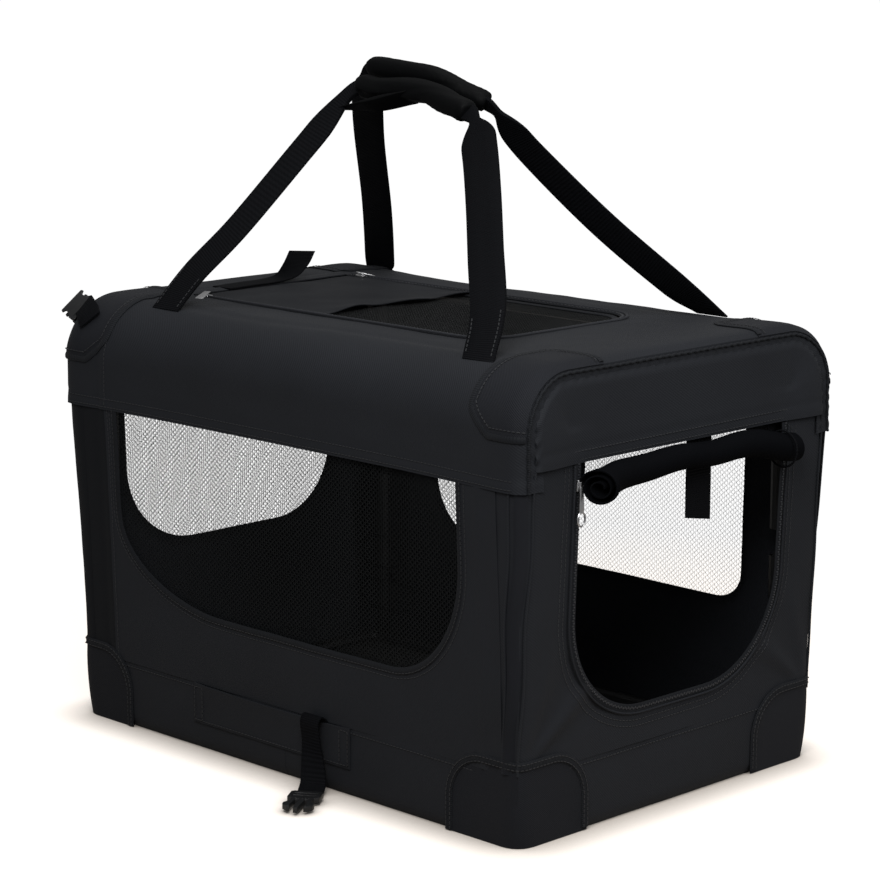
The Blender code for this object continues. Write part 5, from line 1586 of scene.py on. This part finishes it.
class CRATE_OT_straps(CrateOperator, bpy.types.Operator):
    """Sleeve, closing strap and lid strap of flat webbing"""

    bl_idname = "crate.straps"
    bl_label = "Straps"

    def execute(self, context):
        self.sleeve()
        self.closing()
        self.lid_tie()
        return {"FINISHED"}

    def sleeve(self):
        y0 = -(HY + 0.0004)

        def place(u, v):
            x = SLEEVE_X0 + (SLEEVE_X1 - SLEEVE_X0) * u
            z = SLEEVE_Z0 + (SLEEVE_Z1 - SLEEVE_Z0) * v
            sewn = min(min(u, 1 - u) / 0.08, 1.0)
            out = 0.0022 + 0.0016 * sewn * v**3 + 0.0005 * softness(x, z, 60.0)
            return Vector((x, y0 - out, z - 0.0015 * sewn * math.sin(math.pi * u) * v))

        bm = grid(60, 12, place, SLEEVE_X1 - SLEEVE_X0, SLEEVE_Z1 - SLEEVE_Z0)
        obj = piece("closing_sleeve", bm, "cover_cloth", MIDDLE, 0.0014)
        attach(obj, "base")
        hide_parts("strap_sleeve")
        rows = []
        for x0, x1 in ((SLEEVE_X0 + 0.002, SLEEVE_X0 + 0.013), (SLEEVE_X1 - 0.013, SLEEVE_X1 - 0.002)):
            z0, z1 = SLEEVE_Z0 + 0.003, SLEEVE_Z1 - 0.003
            corners = [(x0, z0), (x1, z0), (x1, z1), (x0, z1)]
            line = evenly([(x, -(HY + 0.0034), z) for x, z in corners + corners[:1]], 0.002)
            rows.append(stitches(line, [Vector((0, -1, 0))] * len(line), self.sizes))
        line = [Vector((SLEEVE_X0 + 0.003 + 0.213 * k / 60, -(HY + 0.0028), SLEEVE_Z0 + 0.0025)) for k in range(61)]
        rows.append(stitches(line, [Vector((0, -1, 0))] * 61, self.sizes))
        obj = piece("closing_sleeve_stitching", merge(rows), "sewing_thread")
        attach(obj, "base")

    def closing(self):
        """Strap out of its sleeve, over the sleeve's edge and down to the plug on the floor."""
        y = STRAP_Y
        floor = 0.0014
        along = BUCKLE_WAY
        across = Vector((-along.y, along.x, 0.0))
        bend = Vector((*STRAP_FOOT, floor + 0.0032))
        ground = Vector((bend.x, bend.y, floor))
        bends = [(0.004, 0.0016, 0.052), (0.003, 0.0006, 0.0650), (0.001, -0.0050, 0.0705), (0.0, -0.0088, 0.0640)]
        bends += [(0.001, -0.0080, 0.0500), (0.0030, -0.0082, 0.0340), (0.0090, -0.0125, 0.0125)]
        route = [(STRAP_X + a, y + b, z) for a, b, z in bends] + [bend]
        route += [ground + along * 0.006 + Vector((0, 0, 0.0007)), ground + along * 0.012, ground + along * 0.026]
        count = 72
        points = smooth_path(route, count)
        widths = []
        for p in points:
            turned = clamp((0.045 - p.z) / 0.040)
            widths.append(Vector((1.0, 0.0, 0.0)).lerp(across, turned))
        bm = ribbon(points, widths, [STRAP_HALF] * (count + 1), [STRAP_THICK] * (count + 1))
        obj = piece("closing_webbing", bm, "strap_webbing")
        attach(obj, "closing_strap")
        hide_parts("closing_strap")

    def lid_tie(self):
        x = LID_X0 - 0.016
        z = ROOF_Z + 0.0016
        route = [(x, -0.058, z), (x, -0.024, z + 0.0006), (x, 0.010, z + 0.0012), (x + 0.003, 0.027, z + 0.0052)]
        route += [(x + 0.006, 0.037, z + 0.0160), (x + 0.008, 0.044, z + 0.0290)]
        points = smooth_path(route, 40)
        flat, turned = Vector((1.0, 0.0, 0.0)), Vector((0.78, 0.62, 0.0))
        widths = [flat.lerp(turned, clamp((k - 20) / 14)) for k in range(41)]
        bm = ribbon(points, widths, [STRAP_HALF + 0.001] * 41, [STRAP_THICK] * 41)
        obj = piece("lid_hold_strap", bm, "strap_webbing")
        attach(obj, "lid_tie")
        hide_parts("lid_tie_strap")


class CRATE_OT_buckles(CrateOperator, bpy.types.Operator):
    """Plug half on the closing strap and socket half at the rear top corner"""

    bl_idname = "crate.buckles"
    bl_label = "Buckles"

    def execute(self, context):
        self.plug()
        self.socket()
        return {"FINISHED"}

    def plug(self):
        base = Vector((*STRAP_FOOT, 0.0)) + BUCKLE_WAY * 0.017
        h, tip = BUCKLE_HALF, BUCKLE_LONG
        half = [(-0.004, h - 0.003), (-0.002, h), (0.014, h), (0.016, h - 0.0045), (0.024, h - 0.0050)]
        half += [(0.031, h - 0.0005), (0.036, h - 0.0010), (tip - 0.004, h - 0.0060), (tip - 0.004, h - 0.0085)]
        half += [(0.034, h - 0.0075), (0.020, h - 0.0090), (0.020, 0.0030), (tip, 0.0020)]
        outline = [(a, -b) for a, b in half] + half[::-1]
        slots = []
        for a in (0.0015, 0.0080):
            slots.append([(a, -h + 0.004), (a + 0.003, -h + 0.004), (a + 0.003, h - 0.004), (a, h - 0.004)])
        body = slab(outline, BUCKLE_THICK, 0.0007, 2, slots)
        ribs = []
        for k in range(5):
            low, high = (0.0165, -0.006 + 0.003 * k, 0.0048), (0.0195, -0.0048 + 0.003 * k, 0.0056)
            ribs.append(block(low, high, 0.0002, 1))
        bm = merge([body, *ribs])
        bm.transform(Matrix.Translation((base.x, base.y, 0.0028)) @ Matrix.Rotation(BUCKLE_YAW, 4, "Z"))
        obj = piece("closing_plug", bm, "buckle_plastic")
        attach(obj, "plug_buckle")
        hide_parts("plug_buckle")

    def socket(self):
        reach = Vector((-0.944, 0.100, 0.315)).normalized()
        across = Vector((0.300, 0.660, 0.690))
        across = (across - reach * across.dot(reach)).normalized()
        out = across.cross(reach)
        turn = Matrix.Translation(SOCKET_ROOT) @ Matrix((reach, -across, out)).transposed().to_4x4()
        end = SOCKET_START + SOCKET_LONG
        h, d = SOCKET_HALF, SOCKET_DEEP
        roof = [(SOCKET_START, -h + 0.002), (SOCKET_START + 0.003, -h), (end - 0.015, -h), (end - 0.012, -h + 0.0035)]
        roof += [(end - 0.005, -h + 0.0035), (end - 0.003, -h), (end, -h + 0.001)]
        roof += [(a, -b) for a, b in reversed(roof)]
        shells = []
        for z in (-d, d - 0.0018):
            bm = slab(roof, 0.0018, 0.0005, 2)
            bmesh.ops.translate(bm, vec=(0, 0, z), verts=bm.verts)
            shells.append(bm)
        for sy in (-1, 1):
            y0, y1 = sorted((sy * (h - 0.0006), sy * (h - 0.0030)))
            shells.append(block((SOCKET_START + 0.001, y0, -d + 0.001), (end - 0.0155, y1, d - 0.001), 0.0004))
        x = SOCKET_START
        shells.append(block((x + 0.0055, -h + 0.002, -d + 0.001), (x + 0.0085, h - 0.002, d - 0.001), 0.0004))
        shells.append(block((x + 0.0040, -0.0105, d - 0.0004), (x + 0.0055, 0.0105, d + 0.0006), 0.0003))
        bm = merge(shells)
        bm.transform(turn)
        obj = piece("rear_socket", bm, "buckle_plastic")
        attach(obj, "socket")
        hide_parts("socket_buckle")
        points = [turn @ Vector((0.0135 * k / 12, 0.0, 0.0003 * math.sin(k))) for k in range(13)]
        bm = ribbon(points, [across] * 13, [STRAP_HALF] * 13, [STRAP_THICK] * 13)
        strap = piece("rear_socket_webbing", bm, "strap_webbing")
        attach(strap, "socket")
        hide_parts("socket_strap")
        path = []
        for k in range(13):
            t = -(CAP_STRAIGHT + 0.0125 - 0.0210 * k / 12)
            path.append(cap_point(t, 0.0960 - 0.0150 * k / 12, 0.0040))
        run = [p for p, n in path]
        ways = tangents(run)
        widths = [n.cross(way) for (p, n), way in zip(path, ways)]
        bm = ribbon(run, widths, [STRAP_HALF] * 13, [STRAP_THICK * 1.3] * 13)
        sewn = piece("rear_socket_sewn_end", bm, "strap_webbing")
        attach(sewn, "top")


class CRATE_OT_sliders(CrateOperator, bpy.types.Operator):
    """Zip sliders with their bridges, pulls and rings"""

    bl_idname = "crate.sliders"
    bl_label = "Sliders"

    def execute(self, context):
        for side, sy in SIDES:
            point = Vector((LID_X0 + 0.015, sy * (LID_HALF + 0.0045), ROOF_Z + 0.0003))
            bm = self.body(0.012)
            tab = self.tab((-0.004, 0.0034), (0.014, 0.0046), (0.017, 0.003))
            hang = Matrix.Rotation(sy * math.radians(68), 4, "Z") @ Matrix.Rotation(math.radians(14), 4, "Y")
            tab.transform(Matrix.Translation((0, 0, 0.0034)) @ hang)
            bm = merge([bm, tab])
            bm.transform(Matrix.Translation(point))
            obj = piece(f"lid_zip_slider_{side}", bm, "slider_metal")
            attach(obj, f"lid_slider_{side}")
            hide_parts(f"lid_slider_{side}")
        low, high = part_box("door_slider")
        y, z = (low[1] + high[1]) / 2, (low[2] + high[2]) / 2
        seat = end_on(Vector((0.0, y + SLIDER_SHIFT, z)), 0.0030)
        turn = Matrix.Translation(seat) @ Matrix.Rotation(math.pi / 2, 4, "Y")
        bm = self.body(0.010)
        bm.transform(turn)
        obj = piece("door_zip_slider", bm, "slider_metal")
        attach(obj, "door_slider")
        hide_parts("door_slider")
        low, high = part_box("door_slider_pull")
        y, top = (low[1] + high[1]) / 2, high[2]
        tab = self.tab((0.0, 0.0020), (0.020, 0.0030), (0.0235, 0.0022))
        centre = Vector((0.0285, 0.0, 0.0006))
        angles = [2 * math.pi * k / 24 for k in range(25)]
        ring = [centre + Vector((0.0062 * math.cos(a), 0.0046 * math.sin(a), 0.0)) for a in angles]
        bm = merge([tab, tube(ring, 0.0009, 8, closed=True)])
        hang = end_on(Vector((0.0, y + SLIDER_SHIFT, top)), 0.0062)
        bm.transform(Matrix.Translation(hang) @ Matrix.Rotation(math.pi / 2, 4, "Y"))
        obj = piece("door_zip_pull", bm, "slider_metal")
        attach(obj, "door_slider_pull")
        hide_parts("door_slider_pull")
        return {"FINISHED"}

    def tab(self, *half):
        """Pull of even thickness, from one side of its outline."""
        return slab([(a, -b) for a, b in half] + list(half[::-1]), 0.0012, 0.0003, 2)

    def body(self, long):
        """Slider's plate and the bridge that holds the pull."""
        half = [(-long / 2, 0.0024), (0.0, 0.004), (long / 2, 0.004)]
        plate = slab([(a, -b) for a, b in half] + half[::-1], 0.0022, 0.0005, 2)
        bridge = block((-long * 0.32, -0.0011, 0.0020), (long * 0.32, 0.0011, 0.0034), 0.0005, 2)
        return merge([plate, bridge])


class CRATE_OT_frame_finish(CrateOperator, bpy.types.Operator):
    """Paint on the tubes and rivets, and the floor board's covering, darkened past its own colour as painted shade
    inside the crate
    """

    bl_idname = "crate.frame_finish"
    bl_label = "Frame Finish"

    def execute(self, context):
        for name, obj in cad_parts.items():
            if obj is None:
                raise RuntimeError(f"{name} has no object")
            if name == "floor_board":
                finish = "board_cover"
            elif any(word in name for word in ("post", "arch", "rail", "hoop")):
                finish = "painted_steel"
            else:
                continue
            for slot in obj.material_slots:
                slot.material = finish_of(finish)
        return {"FINISHED"}


class CRATE_OT_stage(CrateOperator, bpy.types.Operator):
    """Floor, backdrop light and camera of the photograph"""

    bl_idname = "crate.stage"
    bl_label = "Stage"

    def execute(self, context):
        bm = bmesh.new()
        bmesh.ops.create_grid(bm, x_segments=1, y_segments=1, size=1.2)
        mesh = bpy.data.meshes.new("studio_floor")
        bm.to_mesh(mesh)
        bm.free()
        floor = bpy.data.objects.new("studio_floor", mesh)
        context.scene.collection.objects.link(floor)
        mesh.materials.append(self.floor_finish())
        self.world(context)
        self.lamp("key_light", (0.90, -1.10, 1.40), 0.9, 25.0)
        self.lamp("top_light", (0.1, 0.1, 3.2), 2.4, 41.0)
        self.lamp("end_light", (2.7, 0.5, 2.0), 1.6, 42.0)
        self.camera(context)
        return {"FINISHED"}

    def floor_finish(self):
        """Floor that glows for the camera only, its glow dimmed by ambient occlusion near the crate as a painted
        contact shadow, and fades out far from it.
        """
        mat = bpy.data.materials.new("white_floor")
        mat.use_nodes = True
        tree = mat.node_tree
        # painted contact shadow: ambient occlusion darkens the floor's glow near the crate
        near = add(tree, "AmbientOcclusion", {"Distance": 0.045}, samples=12)
        shadow = math_node(tree, "POWER", near.outputs["AO"], 2.2)
        glow = math_node(tree, "MULTIPLY", add(tree, "LightPath").outputs["Is Camera Ray"], shadow)
        coords = add(tree, "TexCoord").outputs["Object"]
        far = add(tree, "VectorMath", {0: coords}, operation="LENGTH").outputs["Value"]
        bounds = {"From Min": 0.55, "From Max": 0.95, "To Min": 1.0, "To Max": 0.0}
        fade = add(tree, "MapRange", {"Value": far, **bounds}).outputs[0]
        matt = {"Base Color": (0.38, 0.34, 0.30, 1.0), "Roughness": 0.9, "Specular IOR Level": 0.0}
        light = {"Emission Color": (0.86, 0.82, 0.785, 1.0), "Emission Strength": glow, "Alpha": fade}
        feed(tree, tree.nodes["Principled BSDF"], {**matt, **light})
        return mat

    def world(self, context):
        """White surroundings, brighter to the camera than to the crate."""
        world = bpy.data.worlds.new("studio")
        world.use_nodes = True
        tree = world.node_tree
        path = add(tree, "LightPath").outputs
        seen = math_node(tree, "MAXIMUM", path["Is Camera Ray"], path["Is Transmission Ray"])
        level = math_node(tree, "MULTIPLY_ADD", seen, 0.77, 0.25)
        feed(tree, tree.nodes["Background"], {"Color": (1.0, 1.0, 1.0, 1.0), "Strength": level})
        context.scene.world = world
        context.scene.view_settings.view_transform = "Standard"

    def lamp(self, name, place, size, watts):
        data = bpy.data.lights.new(name, "AREA")
        data.shape = "DISK"
        data.size = size
        data.energy = watts
        lamp = bpy.data.objects.new(name, data)
        aim = Vector((0.0, 0.0, 0.25)) - Vector(place)
        lamp.matrix_world = Matrix.Translation(place) @ aim.to_track_quat("-Z", "Y").to_matrix().to_4x4()
        bpy.context.scene.collection.objects.link(lamp)

    def camera(self, context):
        data = bpy.data.cameras.new("photo_camera")
        data.lens = LENS_MM
        data.sensor_fit = "HORIZONTAL"
        data.sensor_width = 36.0
        data.clip_end = 60.0
        camera = bpy.data.objects.new("photo_camera", data)
        view = VIEW.normalized()
        right = (RIGHT - view * RIGHT.dot(view)).normalized()
        axes = Matrix((right, right.cross(view), -view)).transposed()
        camera.matrix_world = Matrix.Translation(EYE) @ axes.to_4x4()
        context.scene.collection.objects.link(camera)
        context.scene.camera = camera


class CRATE_PT_panel(bpy.types.Panel):
    """Pieces of the crate in the sidebar"""

    bl_idname = "CRATE_PT_panel"
    bl_label = "Folding Pet Crate"
    bl_space_type = "VIEW_3D"
    bl_region_type = "UI"
    bl_category = "Crate"

    def draw(self, context):
        for operator in OPERATORS:
            self.layout.operator(operator.bl_idname)
        for group in (context.scene.crate_sizes, context.scene.crate_colours):
            box = self.layout.box()
            for name in group.bl_rna.properties.keys():
                if name not in ("rna_type", "name"):
                    box.prop(group, name)


OPERATORS = (
    CRATE_OT_long_walls,
    CRATE_OT_nets,
    CRATE_OT_end_walls,
    CRATE_OT_door_zip,
    CRATE_OT_base,
    CRATE_OT_roof,
    CRATE_OT_lid,
    CRATE_OT_rolled_door,
    CRATE_OT_handles,
    CRATE_OT_straps,
    CRATE_OT_buckles,
    CRATE_OT_sliders,
    CRATE_OT_frame_finish,
    CRATE_OT_stage,
)
CLASSES = (CrateSizes, CrateColours, *OPERATORS, CRATE_PT_panel)


def register():
    for cls in CLASSES:
        bpy.utils.register_class(cls)
    bpy.types.Scene.crate_sizes = PointerProperty(type=CrateSizes)
    bpy.types.Scene.crate_colours = PointerProperty(type=CrateColours)


def unregister():
    del bpy.types.Scene.crate_colours
    del bpy.types.Scene.crate_sizes
    for cls in reversed(CLASSES):
        bpy.utils.unregister_class(cls)


def main():
    register()
    for operator in OPERATORS:
        group, name = operator.bl_idname.split(".")
        getattr(getattr(bpy.ops, group), name)()


if __name__ == "__main__":
    main()
